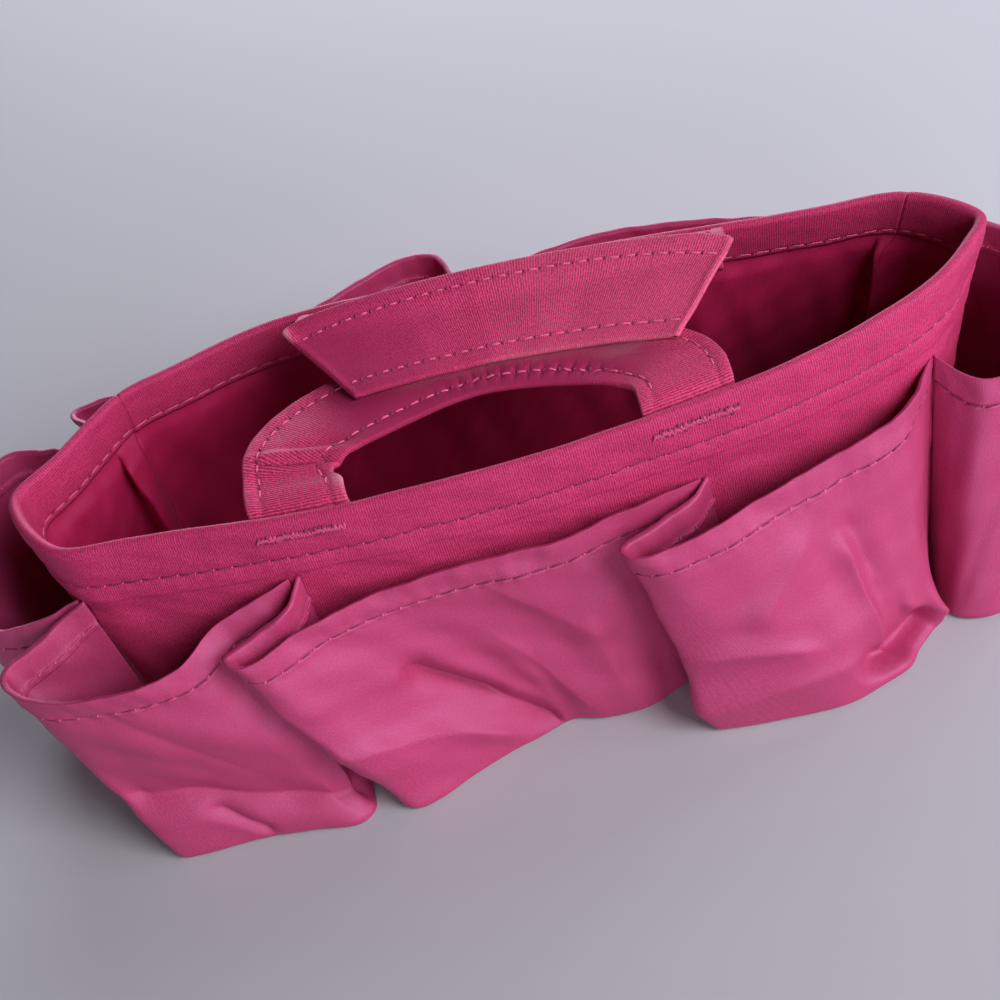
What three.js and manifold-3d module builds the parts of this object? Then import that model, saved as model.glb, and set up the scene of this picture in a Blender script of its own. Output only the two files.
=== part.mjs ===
// A soft purse organizer: an open fabric tub on a stiffened base, seven pleated pockets
// sewn round the outside, and two strap handles sewn inside the rim.
// Millimetres, +Z up, origin at the middle of the base's underside.
// X runs along the tub and -Y is the front.

import * as THREE from 'three';
import * as BufferGeometryUtils from 'three/addons/utils/BufferGeometryUtils.js';
import Module from 'manifold-3d';

const wasm = await Module();
wasm.setup();

// Driving dimensions

const tubLength = 267.5;         // rim, from tip to tip
const tubWidth = 92;             // base, front to back
const rimHeight = 90;            // ground to the top of the rim
const seat = 0.3;                // clearance between pieces that touch
const outerCloth = 0.6;          // outer fabric of the tub
const interliningCloth = 0.4;    // felt-like layer that stiffens the wall
const liningCloth = 0.5;         // lining of the tub
const facingCloth = 0.6;         // strip of outer fabric sewn round the inside of the rim
const facingDepth = 17;          // how far the facing comes down inside the rim
const basePanelCloth = 0.8;      // outer fabric under the base board
const boardThickness = 1.6;      // stiff board in the base
const floorCloth = 0.6;          // lining over the board
const pocketCloth = 0.9;         // pocket fabric
const pocketFloorHeight = 0.8;   // middle of the pocket's floor above the ground
const strapThickness = 2.0;      // handle strap, with its core
const strapWidth = 25.5;         // one-inch strap
const strapFace = 0.5;           // fabric on each face of the strap
const strapHem = 2.5;            // turned edge beside the core
const strapCore = 0.4;           // stiffening inside the strap
const tabDepth = 14;             // how far each strap end runs down inside the rim
const pivotRise = 0.4;           // rim's top up to the line where a strap turns in over it
const pivotHeight = rimHeight + pivotRise;
const tackWidth = 23;            // bar tack across each strap end
const tackHeight = 3;
const tackThread = 0.5;          // how far the tack's thread stands proud
const tackDrop = 5;              // rim's top down to the middle of the tack

// The outlines, mouths and feet below are drawn for a tub of these sizes
const drawnLength = 267.5;
const drawnWidth = 92;
const drawnHeight = 90;

// Each outline goes round the tub from its left tip, along the front and back behind.
// A point of the rim stands over the same point of the base.
const rimOutline = [
  [-126, 0], [-114, -24], [-92, -29.5], [-56, -36.5], [0, -41], [51, -38.5],
  [90, -31.5], [119, -21.5], [135.5, -8], [141.5, 1], [127, 18.5], [99, 24],
  [50, 33.7], [8, 39.5], [-52, 43], [-82, 35.5], [-96, 31], [-113, 14],
];
const baseOutline = [
  [-112, 0], [-104, -36], [-92, -44], [-56, -46], [0, -46], [51, -46],
  [90, -44], [108, -36], [117, -14], [118, 2], [110, 34], [94, 42],
  [50, 46], [8, 46], [-52, 46], [-82, 44], [-100, 36], [-111, 15],
];

// Seams, by the outline's points, and how high the pockets are sewn at each
const seams = {
  leftFront: { at: 1, top: 73 },
  frontLeft: { at: 3, top: 72 },
  frontRight: { at: 5, top: 67 },
  rightFront: { at: 7, top: 70 },
  rightBack: { at: 10, top: 70 },
  back: { at: 13, top: 70 },
  leftBack: { at: 16, top: 70 },
};
const seamSpacing = 1.1;         // from a seam to the edge of each pocket beside it
const pocketTuck = 1.5;          // how far a pocket is drawn into the wall before it is trimmed

// Mouth and foot of each pocket between its seams, hem first
const pockets = [
  {
    name: 'pocket_front_left', from: 'leftFront', to: 'frontLeft',
    mouth: [[-123, -26, 70], [-133, -32, 67], [-137, -41, 66], [-127, -51, 66],
      [-106, -56, 66], [-90, -53, 66], [-79, -44, 68], [-66, -42, 71]],
    foot: [[-109, -46], [-112, -53], [-114, -60], [-108, -62],
      [-88, -65], [-70, -67], [-61, -67], [-57.5, -57]],
  },
  {
    name: 'pocket_front_middle', from: 'frontLeft', to: 'frontRight',
    mouth: [[-59, -46, 70], [-70, -50.5, 67], [-78, -54, 66], [-74, -58, 65], [-57, -52, 66],
      [-36, -47, 66], [-10, -47, 67], [12, -48, 67], [28, -45.5, 68], [41, -43.5, 68]],
    foot: [[-53, -52], [-50.5, -60], [-48, -66], [-44, -68], [-34, -66],
      [-20, -60], [-6, -55], [12, -54], [28, -53], [40, -51]],
  },
  {
    name: 'pocket_front_right', from: 'frontRight', to: 'rightFront',
    mouth: [[47, -45.5, 66], [35, -50, 65], [25.5, -55, 65], [29, -59.5, 65],
      [47, -58, 66], [63, -52, 66], [86, -45.5, 67], [104, -39, 68]],
    foot: [[46, -52], [40, -58], [36, -64], [38, -69],
      [54, -72], [72, -73], [92, -69], [105, -57]],
  },
  {
    name: 'pocket_right_end', from: 'rightFront', to: 'rightBack',
    mouth: [[122.5, -30, 67], [128, -34.5, 66], [140, -33, 66], [153, -23, 66],
      [159, -6, 66], [158, 12, 66], [149, 27, 66], [137, 30, 68]],
    foot: [[110, -46], [112, -55], [121, -58], [138, -50],
      [149, -26], [151, 4], [143, 28], [126, 42]],
  },
  {
    name: 'pocket_back_right', from: 'rightBack', to: 'back',
    mouth: [[122, 34, 68], [111, 45, 66], [97, 54, 66], [80, 61, 66],
      [58, 68, 66], [36, 70, 66], [20, 66, 66], [12, 54, 68]],
    foot: [[110, 48], [101, 60], [87, 68], [66, 72],
      [46, 72], [30, 70], [18, 66], [12, 56]],
  },
  {
    name: 'pocket_back_left', from: 'back', to: 'leftBack',
    mouth: [[4.5, 56, 68], [2, 70, 66], [-1, 82, 66], [-10, 86, 66], [-30, 79, 66],
      [-60, 73, 66], [-92, 69, 66], [-110, 65, 66], [-118, 58, 66], [-110, 46, 68]],
    foot: [[5, 58], [2, 68], [-6, 73], [-20, 74], [-45, 73],
      [-68, 72], [-88, 70], [-102, 67], [-108, 58], [-104, 48]],
  },
  {
    name: 'pocket_left_end', from: 'leftBack', to: 'leftFront',
    mouth: [[-113, 36, 68], [-126, 45, 66], [-138, 48, 66], [-149, 38, 66], [-155, 18, 66],
      [-154, -4, 66], [-146, -18, 66], [-135, -22, 68], [-123, -21, 71]],
    foot: [[-112, 42], [-124, 46], [-134, 42], [-142, 28], [-145, 10],
      [-143, -8], [-135, -22], [-124, -30], [-113, -34]],
  },
];
const pocketSteps = 3;           // facets between two points of a mouth
const pocketRows = 3;            // rows of facets down a pocket

// Front handle: one arched strap that leans in nearly level
const frontHandleX = 1;          // middle of the handle along the rim
const frontLegSpan = 51;         // middle of the handle to the middle of a leg
const frontReach = 49;           // pivot line to the top of the arch
const frontShoulder = { x: 54, reach: 31 };
const frontLegReach = 15;        // straight stretch of a leg's outer edge
const frontTilt = -2;            // degrees above level

// Back handle: two short legs, and a grip creased over towards the front
const backHandleX = 18;
const backLegSpan = 47;
const backLegReach = 19;         // pivot line to the crease
const gripOverhang = 60;         // half the grip's length along the crease
const gripNearHalf = 43;         // half the grip's length along its free edge
const gripBow = 6;               // how far the grip's far edge bows back in the middle
const backLegTilt = 25;          // degrees above level
const gripDroop = 14;            // degrees below level

// Materials

const outerFabric = new THREE.MeshStandardMaterial({ color: 0xb8306c, roughness: 0.6, metalness: 0 });
const liningFabric = new THREE.MeshStandardMaterial({ color: 0x96204f, roughness: 0.45, metalness: 0 });
const strapFabric = new THREE.MeshStandardMaterial({ color: 0xc03a74, roughness: 0.65, metalness: 0 });
const feltMaterial = new THREE.MeshStandardMaterial({ color: 0xe8e4e0, roughness: 0.95, metalness: 0 });
const boardMaterial = new THREE.MeshStandardMaterial({ color: 0x8c8a88, roughness: 0.8, metalness: 0 });
const threadMaterial = new THREE.MeshStandardMaterial({ color: 0xd0507e, roughness: 0.5, metalness: 0 });

// A drawn point at the tub's own size
const drawn = (x, y, z = 0) => new THREE.Vector3(
  (x * tubLength) / drawnLength, (y * tubWidth) / drawnWidth, (z * rimHeight) / drawnHeight);

// Closed bodies

const signedVolume = (position, index) => {
  const a = new THREE.Vector3();
  const b = new THREE.Vector3();
  const c = new THREE.Vector3();
  let sum = 0;
  for (let i = 0; i < index.length; i += 3) {
    a.fromArray(position, 3 * index[i]);
    b.fromArray(position, 3 * index[i + 1]);
    c.fromArray(position, 3 * index[i + 2]);
    sum += a.dot(b.cross(c));
  }
  return sum / 6;
};

// A geometry from points and triangles, with its faces turned out
const closedBody = (points, triangles) => {
  const position = points.flatMap((p) => p.toArray());
  let index = triangles.flat();
  if (signedVolume(position, index) < 0) {
    index = triangles.flatMap(([a, b, c]) => [a, c, b]);
  }
  const geometry = new THREE.BufferGeometry();
  geometry.setAttribute('position', new THREE.Float32BufferAttribute(position, 3));
  geometry.setIndex(index);
  return geometry;
};

// Two triangles for the quad a, b, c, d
const quad = (a, b, c, d) => [[a, b, c], [a, c, d]];

// A polygon section carried through a row of places, and its diagonals all lean one way
const sweptBody = (rings) => {
  const sides = rings[0].length;
  const points = rings.flat();
  const triangles = [];
  for (let i = 0; i < rings.length - 1; i += 1) {
    for (let j = 0; j < sides; j += 1) {
      const k = (j + 1) % sides;
      const corners = [i * sides + j, i * sides + k, (i + 1) * sides + k, (i + 1) * sides + j];
      if (rings[i][k].z < rings[i][j].z) {
        corners.push(corners.shift());
      }
      triangles.push(...quad(...corners));
    }
  }
  return { points, triangles, sides, last: (rings.length - 1) * sides };
};

// A sheet of even thickness over a grid of points on its middle surface
const sheetBody = (grid, thickness) => {
  const rows = grid.length;
  const columns = grid[0].length;
  const at = (r, c) => grid[Math.min(Math.max(r, 0), rows - 1)][Math.min(Math.max(c, 0), columns - 1)];
  const front = [];
  const rear = [];
  for (let r = 0; r < rows; r += 1) {
    for (let c = 0; c < columns; c += 1) {
      const along = at(r, c + 1).clone().sub(at(r, c - 1));
      const down = at(r + 1, c).clone().sub(at(r - 1, c));
      const normal = along.cross(down).normalize();
      front.push(at(r, c).clone().addScaledVector(normal, thickness / 2));
      rear.push(at(r, c).clone().addScaledVector(normal, -thickness / 2));
    }
  }
  const half = rows * columns;
  const id = (r, c) => r * columns + c;
  const triangles = [];
  for (let r = 0; r < rows - 1; r += 1) {
    for (let c = 0; c < columns - 1; c += 1) {
      const corners = [id(r, c), id(r + 1, c), id(r + 1, c + 1), id(r, c + 1)];
      triangles.push(...quad(...corners));
      triangles.push(...quad(...corners.map((corner) => half + corner).toReversed()));
    }
  }
  for (let c = 0; c < columns - 1; c += 1) {
    triangles.push(...quad(id(0, c), id(0, c + 1), half + id(0, c + 1), half + id(0, c)));
    triangles.push(...quad(id(rows - 1, c), half + id(rows - 1, c),
      half + id(rows - 1, c + 1), id(rows - 1, c + 1)));
  }
  for (let r = 0; r < rows - 1; r += 1) {
    triangles.push(...quad(id(r, 0), half + id(r, 0), half + id(r + 1, 0), id(r + 1, 0)));
    triangles.push(...quad(id(r, columns - 1), id(r + 1, columns - 1),
      half + id(r + 1, columns - 1), half + id(r, columns - 1)));
  }
  return closedBody([...front, ...rear], triangles);
};

// Booleans

const weldTolerance = 1e-4;
const toSolid = (geometry) => {
  const bare = geometry.clone();
  bare.deleteAttribute('normal');
  bare.deleteAttribute('uv');
  const merged = BufferGeometryUtils.mergeVertices(bare, weldTolerance);
  return new wasm.Manifold(new wasm.Mesh({
    numProp: 3,
    vertProperties: new Float32Array(merged.getAttribute('position').array),
    triVerts: new Uint32Array(merged.getIndex().array),
  }));
};

const subtract = (geometry, cutter) => {
  const result = toSolid(geometry).subtract(toSolid(cutter)).getMesh();
  const cut = new THREE.BufferGeometry();
  cut.setAttribute('position', new THREE.BufferAttribute(result.vertProperties, 3));
  cut.setIndex(new THREE.BufferAttribute(result.triVerts, 1));
  return cut;
};

// The tub's wall

const outlineCurve = (outline) => new THREE.CatmullRomCurve3(
  outline.map(([x, y]) => drawn(x, y)), true, 'centripetal');
const rimCurve = outlineCurve(rimOutline);
const baseCurve = outlineCurve(baseOutline);
const outlineCount = rimOutline.length;

// The wall at a place given in points round the outline, a height and a distance outwards
const wallPoint = (place, height, outwards) => {
  const t = ((place / outlineCount) % 1 + 1) % 1;
  const share = height / rimHeight;
  const point = baseCurve.getPoint(t).lerp(rimCurve.getPoint(t), share);
  const tangent = baseCurve.getTangent(t).lerp(rimCurve.getTangent(t), share).normalize();
  const outward = new THREE.Vector3(tangent.y, -tangent.x, 0);
  point.addScaledVector(outward, outwards);
  point.z = height;
  return point;
};

// The same place moved along the wall by a length
const moveAlong = (place, height, length) => {
  const step = 0.01;
  const span = wallPoint(place + step, height, 0).distanceTo(wallPoint(place, height, 0));
  return place + (length / span) * step;
};

// A band of the wall between two places: section is a polygon of [outwards, height]
const wallStepsPerPoint = 3;
const wallBand = (from, to, section) => {
  const steps = Math.max(2, Math.round((to - from) * wallStepsPerPoint));
  const rings = [];
  for (let i = 0; i <= steps; i += 1) {
    const place = from + ((to - from) * i) / steps;
    rings.push(section.map(([outwards, height]) => wallPoint(place, height, outwards)));
  }
  const { points, triangles, last } = sweptBody(rings);
  const outline = section.map(([outwards, height]) => new THREE.Vector2(outwards, height));
  const caps = THREE.ShapeUtils.triangulateShape(outline, []);
  caps.forEach(([a, b, c]) => {
    triangles.push([a, c, b]);
    triangles.push([last + a, last + b, last + c]);
  });
  return closedBody(points, triangles);
};

// A solid that fills the tub's outline, with a ring of its skin at each height
const filledOutline = (heights, outwards) => {
  const steps = outlineCount * wallStepsPerPoint;
  const rings = heights.map((height) => {
    const ring = [];
    for (let i = 0; i < steps; i += 1) {
      const level = Math.min(Math.max(height, 0), rimHeight);
      const point = wallPoint((i * outlineCount) / steps, level, outwards);
      point.z = height;
      ring.push(point);
    }
    return ring;
  });
  const { points, triangles, last } = sweptBody(rings);
  [0, last].forEach((first) => {
    const middle = points.length;
    points.push(new THREE.Vector3(0, 0, points[first].z));
    for (let i = 0; i < steps; i += 1) {
      const a = first + i;
      const b = first + ((i + 1) % steps);
      triangles.push(first === 0 ? [middle, b, a] : [middle, a, b]);
    }
  });
  return closedBody(points, triangles);
};

// Stretches of the outline that hold the handles
const frontPlaces = [1, 7];
const backPlaces = [11, 15];

// The place on one of those stretches whose X is the one given
const halvings = 40;
const placeAtX = (x, [first, last], height) => {
  let low = first;
  let high = last;
  const rising = wallPoint(last, height, 0).x > wallPoint(first, height, 0).x;
  for (let i = 0; i < halvings; i += 1) {
    const middle = (low + high) / 2;
    if ((wallPoint(middle, height, 0).x < x) === rising) {
      low = middle;
    } else {
      high = middle;
    }
  }
  return (low + high) / 2;
};

// Layers of the wall, outside face first

const interliningOut = -outerCloth - seat;
const interliningIn = interliningOut - interliningCloth;
const liningOut = interliningIn - seat;
const liningIn = liningOut - liningCloth;
const facingOut = liningIn - seat;
const facingIn = facingOut - facingCloth;
const wallFoot = basePanelCloth + seat;
const wallTop = rimHeight - facingCloth - seat;
const leftSeam = seams.leftBack.at - outlineCount;
const rightSeam = seams.rightBack.at;

const facingFoot = rimHeight - facingDepth;
const wallLevels = [wallFoot, facingFoot / 2, facingFoot, wallTop];
const layerSection = (outer, inner) => [
  ...wallLevels.map((height) => [outer, height]),
  ...wallLevels.toReversed().map((height) => [inner, height]),
];
const facingSection = [
  [facingIn, facingFoot], [facingOut, facingFoot], [facingOut, wallTop + seat], [0, wallTop + seat],
  [0, rimHeight - facingCloth / 3], [-facingCloth / 2, rimHeight],
  [facingIn + facingCloth / 2, rimHeight], [facingIn, rimHeight - facingCloth / 3],
];

const frontStretch = (section) => wallBand(
  moveAlong(leftSeam, rimHeight, seat / 2), moveAlong(rightSeam, rimHeight, -seat / 2), section);
const backStretch = (section) => wallBand(
  moveAlong(rightSeam, rimHeight, seat / 2),
  moveAlong(leftSeam + outlineCount, rimHeight, -seat / 2), section);

// Pockets

const beyond = 2;                // how far the trimming solid stands past the wall's foot and top
const envelope = filledOutline(
  [-beyond, 0, facingFoot / 2, facingFoot, rimHeight, rimHeight + beyond], seat);

const pocketBody = ({ from, to, mouth, foot }) => {
  const start = seams[from];
  const end = seams[to];
  const endPlace = end.at < start.at ? end.at + outlineCount : end.at;
  const ends = (height) => [
    moveAlong(start.at, height, seamSpacing),
    moveAlong(endPlace, height, -seamSpacing),
  ];
  const [mouthStart, mouthEnd] = ends(rimHeight);
  const [footStart, footEnd] = ends(0);
  const top = new THREE.CatmullRomCurve3([
    wallPoint(mouthStart, drawn(0, 0, start.top).z, -pocketTuck),
    ...mouth.map(([x, y, z]) => drawn(x, y, z)),
    wallPoint(mouthEnd, drawn(0, 0, end.top).z, -pocketTuck),
  ]);
  const bottom = new THREE.CatmullRomCurve3([
    wallPoint(footStart, pocketFloorHeight, -pocketTuck),
    ...foot.map(([x, y]) => drawn(x, y).setZ(pocketFloorHeight)),
    wallPoint(footEnd, pocketFloorHeight, -pocketTuck),
  ]);
  const columns = (mouth.length + 1) * pocketSteps;
  const grid = [];
  for (let r = 0; r <= pocketRows; r += 1) {
    const row = [];
    for (let c = 0; c <= columns; c += 1) {
      const t = c / columns;
      row.push(top.getPoint(t).lerp(bottom.getPoint(t), r / pocketRows));
    }
    grid.push(row);
  }
  const inner = [];
  for (let c = 0; c <= columns; c += 1) {
    const place = footStart + ((footEnd - footStart) * c) / columns;
    inner.push(wallPoint(place, pocketFloorHeight, -pocketTuck));
  }
  grid.push(inner);
  return subtract(sheetBody(grid, pocketCloth), envelope);
};

// Straps

// A flat plate with its outline in XY, half its thickness each side of Z = 0
const plate = (shape, thickness) => {
  const settings = { depth: thickness, bevelEnabled: false, curveSegments: 8 };
  const geometry = new THREE.ExtrudeGeometry(shape, settings);
  geometry.translate(0, 0, -thickness / 2);
  return geometry;
};

const polygon = (corners) => new THREE.Shape(corners.map(([x, y]) => new THREE.Vector2(x, y)));

// The hollow in a strap that takes its core
const hollowThickness = strapThickness - 2 * strapFace;

// Gap that two straps need where one turns by an angle from the other
const turnGap = (degrees) => {
  const half = THREE.MathUtils.degToRad(degrees) / 2;
  return (seat / 2 + (strapThickness / 2) * Math.sin(half)) / Math.cos(half);
};

const frontGap = turnGap(90 - frontTilt);
const backGap = turnGap(90 - backLegTilt);
const creaseGap = turnGap(backLegTilt + gripDroop);

// The arch of the front handle, drawn in by an inset on every edge
const shoulderInset = 0.7;       // share of an inset that moves the shoulder each way
const shoulderDrop = 6;          // outer edge of the leg: bend's corner below the shoulder
const crownPull = 0.55;          // share of the shoulder's X where the crown's bend turns
const archShape = (inset, start) => {
  const outerLeg = frontLegSpan + strapWidth / 2 - inset;
  const innerLeg = frontLegSpan - strapWidth / 2 + inset;
  const crown = frontReach - inset;
  const underCrown = frontReach - strapWidth + inset;
  const shoulderX = frontShoulder.x - inset * shoulderInset;
  const shoulderReach = frontShoulder.reach - inset * shoulderInset;
  const bendReach = shoulderReach - shoulderDrop;
  const shape = new THREE.Shape();
  shape.moveTo(-outerLeg, start);
  shape.lineTo(-outerLeg, frontLegReach);
  shape.quadraticCurveTo(-outerLeg, bendReach, -shoulderX, shoulderReach);
  shape.quadraticCurveTo(-shoulderX * crownPull, crown, 0, crown);
  shape.quadraticCurveTo(shoulderX * crownPull, crown, shoulderX, shoulderReach);
  shape.quadraticCurveTo(outerLeg, bendReach, outerLeg, frontLegReach);
  shape.lineTo(outerLeg, start);
  shape.lineTo(innerLeg, start);
  shape.quadraticCurveTo(innerLeg, underCrown, 0, underCrown);
  shape.quadraticCurveTo(-innerLeg, underCrown, -innerLeg, start);
  shape.closePath();
  return shape;
};

// The grip of the back handle, measured from its crease
const gripShape = (inset, start) => {
  const slant = (gripOverhang - gripNearHalf) / (strapWidth - creaseGap);
  const halfLength = (reach) => gripOverhang - inset * Math.hypot(1, slant) - slant * (reach - creaseGap);
  const nearEdge = strapWidth - inset;
  const innerLeg = backLegSpan - strapWidth / 2 + inset;
  const farEdge = creaseGap + inset;
  const shape = new THREE.Shape();
  shape.moveTo(-halfLength(start), start);
  shape.lineTo(-halfLength(nearEdge), nearEdge);
  shape.lineTo(halfLength(nearEdge), nearEdge);
  shape.lineTo(halfLength(start), start);
  shape.lineTo(innerLeg, start);
  shape.lineTo(innerLeg, farEdge);
  shape.quadraticCurveTo(0, farEdge - 2 * gripBow, -innerLeg, farEdge);
  shape.lineTo(-innerLeg, start);
  shape.closePath();
  return shape;
};

const legShape = (middle, halfWidth, start, end) => {
  const near = middle - halfWidth;
  const far = middle + halfWidth;
  return polygon([[near, start], [far, start], [far, end], [near, end]]);
};

// Where the straps turn over the rim: clear of the facing along both legs
const pivotClearance = facingIn - seat - strapThickness / 2;
const frontPivotY = Math.max(...[-1, 1].flatMap((side) => [-1, 1].map((edge) => {
  const x = frontHandleX + side * frontLegSpan + (edge * strapWidth) / 2;
  return wallPoint(placeAtX(x, frontPlaces, rimHeight), rimHeight, pivotClearance).y;
})));
const backPoints = [-1, 1].flatMap((side) => [-1, 1].map((edge) => {
  const x = backHandleX + side * backLegSpan + (edge * strapWidth) / 2;
  return wallPoint(placeAtX(x, backPlaces, rimHeight), rimHeight, pivotClearance);
}));
const backSlope = (backPoints[3].y - backPoints[0].y) / (backPoints[3].x - backPoints[0].x);
const backYaw = Math.atan(backSlope);
const backPivotY = Math.min(...backPoints.map((p) => p.y - backSlope * (p.x - backHandleX)));

const radians = THREE.MathUtils.degToRad;

// A strap end sewn flat against the facing, centred on an X
const strapTab = (x, places, gap) => {
  const top = pivotHeight - gap;
  const edges = [x - strapWidth / 2, x + strapWidth / 2].map((edge) => placeAtX(edge, places, rimHeight));
  const outer = facingIn - seat;
  const inner = outer - strapThickness;
  const section = [[inner, top - tabDepth], [outer, top - tabDepth], [outer, top], [inner, top]];
  return wallBand(Math.min(...edges), Math.max(...edges), section);
};

// A bar tack on the outside of the rim, over a strap end
const barTack = (x, places) => {
  const middle = rimHeight - tackDrop;
  const edges = [x - tackWidth / 2, x + tackWidth / 2].map((edge) => placeAtX(edge, places, middle));
  const low = middle - tackHeight / 2;
  const high = middle + tackHeight / 2;
  const proud = seat + tackThread;
  const section = [[seat, low], [proud, low], [proud, high], [seat, high]];
  return wallBand(Math.min(...edges), Math.max(...edges), section);
};

// Assembly

const organizer = new THREE.Group();
const addMesh = (parent, name, geometry, material) => {
  const mesh = new THREE.Mesh(geometry, material);
  mesh.name = name;
  parent.add(mesh);
};

// Base
const boardFoot = basePanelCloth + seat;
const boardTop = boardFoot + boardThickness;
const floorFoot = boardTop + seat;
const floorTop = floorFoot + floorCloth;
const insideWall = liningIn - seat;
addMesh(organizer, 'base_outer_panel', filledOutline([0, basePanelCloth], 0), outerFabric);
addMesh(organizer, 'base_board', filledOutline([boardFoot, boardTop], insideWall), boardMaterial);
addMesh(organizer, 'base_lining', filledOutline([floorFoot, floorTop], insideWall), liningFabric);

// Wall layers and rim
const outerSection = layerSection(0, -outerCloth);
const interliningSection = layerSection(interliningOut, interliningIn);
const liningSection = layerSection(liningOut, liningIn);
[['front', frontStretch], ['back', backStretch]].forEach(([side, stretch]) => {
  addMesh(organizer, `outer_${side}_panel`, stretch(outerSection), outerFabric);
  addMesh(organizer, `interlining_${side}`, stretch(interliningSection), feltMaterial);
  addMesh(organizer, `lining_${side}`, stretch(liningSection), liningFabric);
  addMesh(organizer, `rim_facing_${side}`, stretch(facingSection), outerFabric);
});

// Pockets
pockets.forEach((pocket) => addMesh(organizer, pocket.name, pocketBody(pocket), outerFabric));

// Sewn strap ends and their tacks
[['left', -1], ['right', 1]].forEach(([side, sign]) => {
  const frontX = frontHandleX + sign * frontLegSpan;
  const backX = backHandleX + sign * backLegSpan;
  addMesh(organizer, `front_handle_${side}_tab`, strapTab(frontX, frontPlaces, frontGap), strapFabric);
  addMesh(organizer, `back_handle_${side}_tab`, strapTab(backX, backPlaces, backGap), strapFabric);
  addMesh(organizer, `front_${side}_bar_tack`, barTack(frontX, frontPlaces), threadMaterial);
  addMesh(organizer, `back_${side}_bar_tack`, barTack(backX, backPlaces), threadMaterial);
});

// Front handle
const coreInset = strapHem + seat;
const coreRecess = 1;            // how far a core stops short of the strap's open end
const frontHandle = new THREE.Group();
frontHandle.position.set(frontHandleX, frontPivotY, pivotHeight);
frontHandle.rotation.x = radians(frontTilt);
organizer.add(frontHandle);
addMesh(frontHandle, 'front_handle_strap', subtract(
  plate(archShape(0, frontGap), strapThickness),
  plate(archShape(strapHem, frontGap - strapHem), hollowThickness)), strapFabric);
addMesh(frontHandle, 'front_handle_core',
  plate(archShape(coreInset, frontGap + coreRecess), strapCore), feltMaterial);

// Back handle: its reach points to the front, so the group is turned round
const backHandle = new THREE.Group();
backHandle.position.set(backHandleX, backPivotY, pivotHeight);
backHandle.rotation.z = Math.PI + backYaw;
organizer.add(backHandle);
const backLegs = new THREE.Group();
backLegs.rotation.x = radians(backLegTilt);
backHandle.add(backLegs);
[['left', 1], ['right', -1]].forEach(([side, sign]) => {
  const middle = sign * backLegSpan;
  const halfWidth = strapWidth / 2;
  const legEnd = backLegReach - creaseGap;
  addMesh(backLegs, `back_handle_${side}_leg`, subtract(
    plate(legShape(middle, halfWidth, backGap, legEnd), strapThickness),
    plate(legShape(middle, halfWidth - strapHem, backGap - strapHem, legEnd + strapHem), hollowThickness)),
  strapFabric);
  const coreShape = legShape(middle, halfWidth - coreInset, backGap + coreRecess, legEnd - coreRecess);
  addMesh(backLegs, `back_handle_${side}_leg_core`, plate(coreShape, strapCore), feltMaterial);
});
const backGrip = new THREE.Group();
backGrip.position.set(0, backLegReach, 0);
backGrip.rotation.x = -radians(backLegTilt + gripDroop);
backLegs.add(backGrip);
addMesh(backGrip, 'back_handle_grip', subtract(
  plate(gripShape(0, creaseGap), strapThickness),
  plate(gripShape(strapHem, creaseGap - strapHem), hollowThickness)), strapFabric);
addMesh(backGrip, 'back_handle_grip_core',
  plate(gripShape(coreInset, creaseGap + coreRecess), strapCore), feltMaterial);

export default organizer;
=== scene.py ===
"""A soft purse organizer, dressed for Blender 4.5 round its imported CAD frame.

Shapes are worked out in millimetres with numpy and put into metres when a mesh is made.
The tub's wall, its pockets and the handles are cloth surfaces on grids: rows run down or
across a piece, columns run along it, and faces point to the side that is seen.
"""

import bpy
import numpy as np
from bpy.props import FloatProperty, FloatVectorProperty, PointerProperty
from bpy.types import Operator, Panel, PropertyGroup
from mathutils import Matrix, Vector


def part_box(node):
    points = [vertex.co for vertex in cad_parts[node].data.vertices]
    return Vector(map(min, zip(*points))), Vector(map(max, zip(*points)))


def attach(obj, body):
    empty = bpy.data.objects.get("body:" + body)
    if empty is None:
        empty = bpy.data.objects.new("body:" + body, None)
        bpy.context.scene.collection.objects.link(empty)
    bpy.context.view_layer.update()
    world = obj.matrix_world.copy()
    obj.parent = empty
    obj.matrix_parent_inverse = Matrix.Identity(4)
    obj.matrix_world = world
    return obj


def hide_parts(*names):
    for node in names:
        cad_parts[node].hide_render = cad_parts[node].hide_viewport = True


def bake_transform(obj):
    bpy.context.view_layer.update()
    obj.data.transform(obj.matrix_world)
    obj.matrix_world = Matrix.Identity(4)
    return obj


bl_info = {
    "name": "Purse organizer",
    "version": (1, 0, 0),
    "blender": (4, 5, 0),
    "location": "View3D > Sidebar > Organizer",
    "description": "Sewn tub, pleated pockets and strap handles of a purse organizer",
    "category": "Add Mesh",
}

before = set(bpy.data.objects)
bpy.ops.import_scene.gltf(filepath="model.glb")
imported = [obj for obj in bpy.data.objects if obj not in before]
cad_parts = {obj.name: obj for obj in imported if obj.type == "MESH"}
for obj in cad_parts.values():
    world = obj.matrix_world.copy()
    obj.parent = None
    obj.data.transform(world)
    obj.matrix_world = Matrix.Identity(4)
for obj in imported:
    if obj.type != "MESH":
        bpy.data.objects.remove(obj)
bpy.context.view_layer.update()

MM = 0.001
RIM_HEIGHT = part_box("rim_facing_front")[1][2] / MM
WALL_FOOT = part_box("outer_front_panel")[0][2] / MM
FLOOR_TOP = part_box("base_lining")[1][2] / MM
TAB_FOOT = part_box("front_handle_left_tab")[0][2] / MM

# Faces of the wall's layers, measured outwards from its outer face
FACING_FACE = -3.0
LINING_FACE = -2.1
INTERLINING_FACE = -0.9

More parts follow.
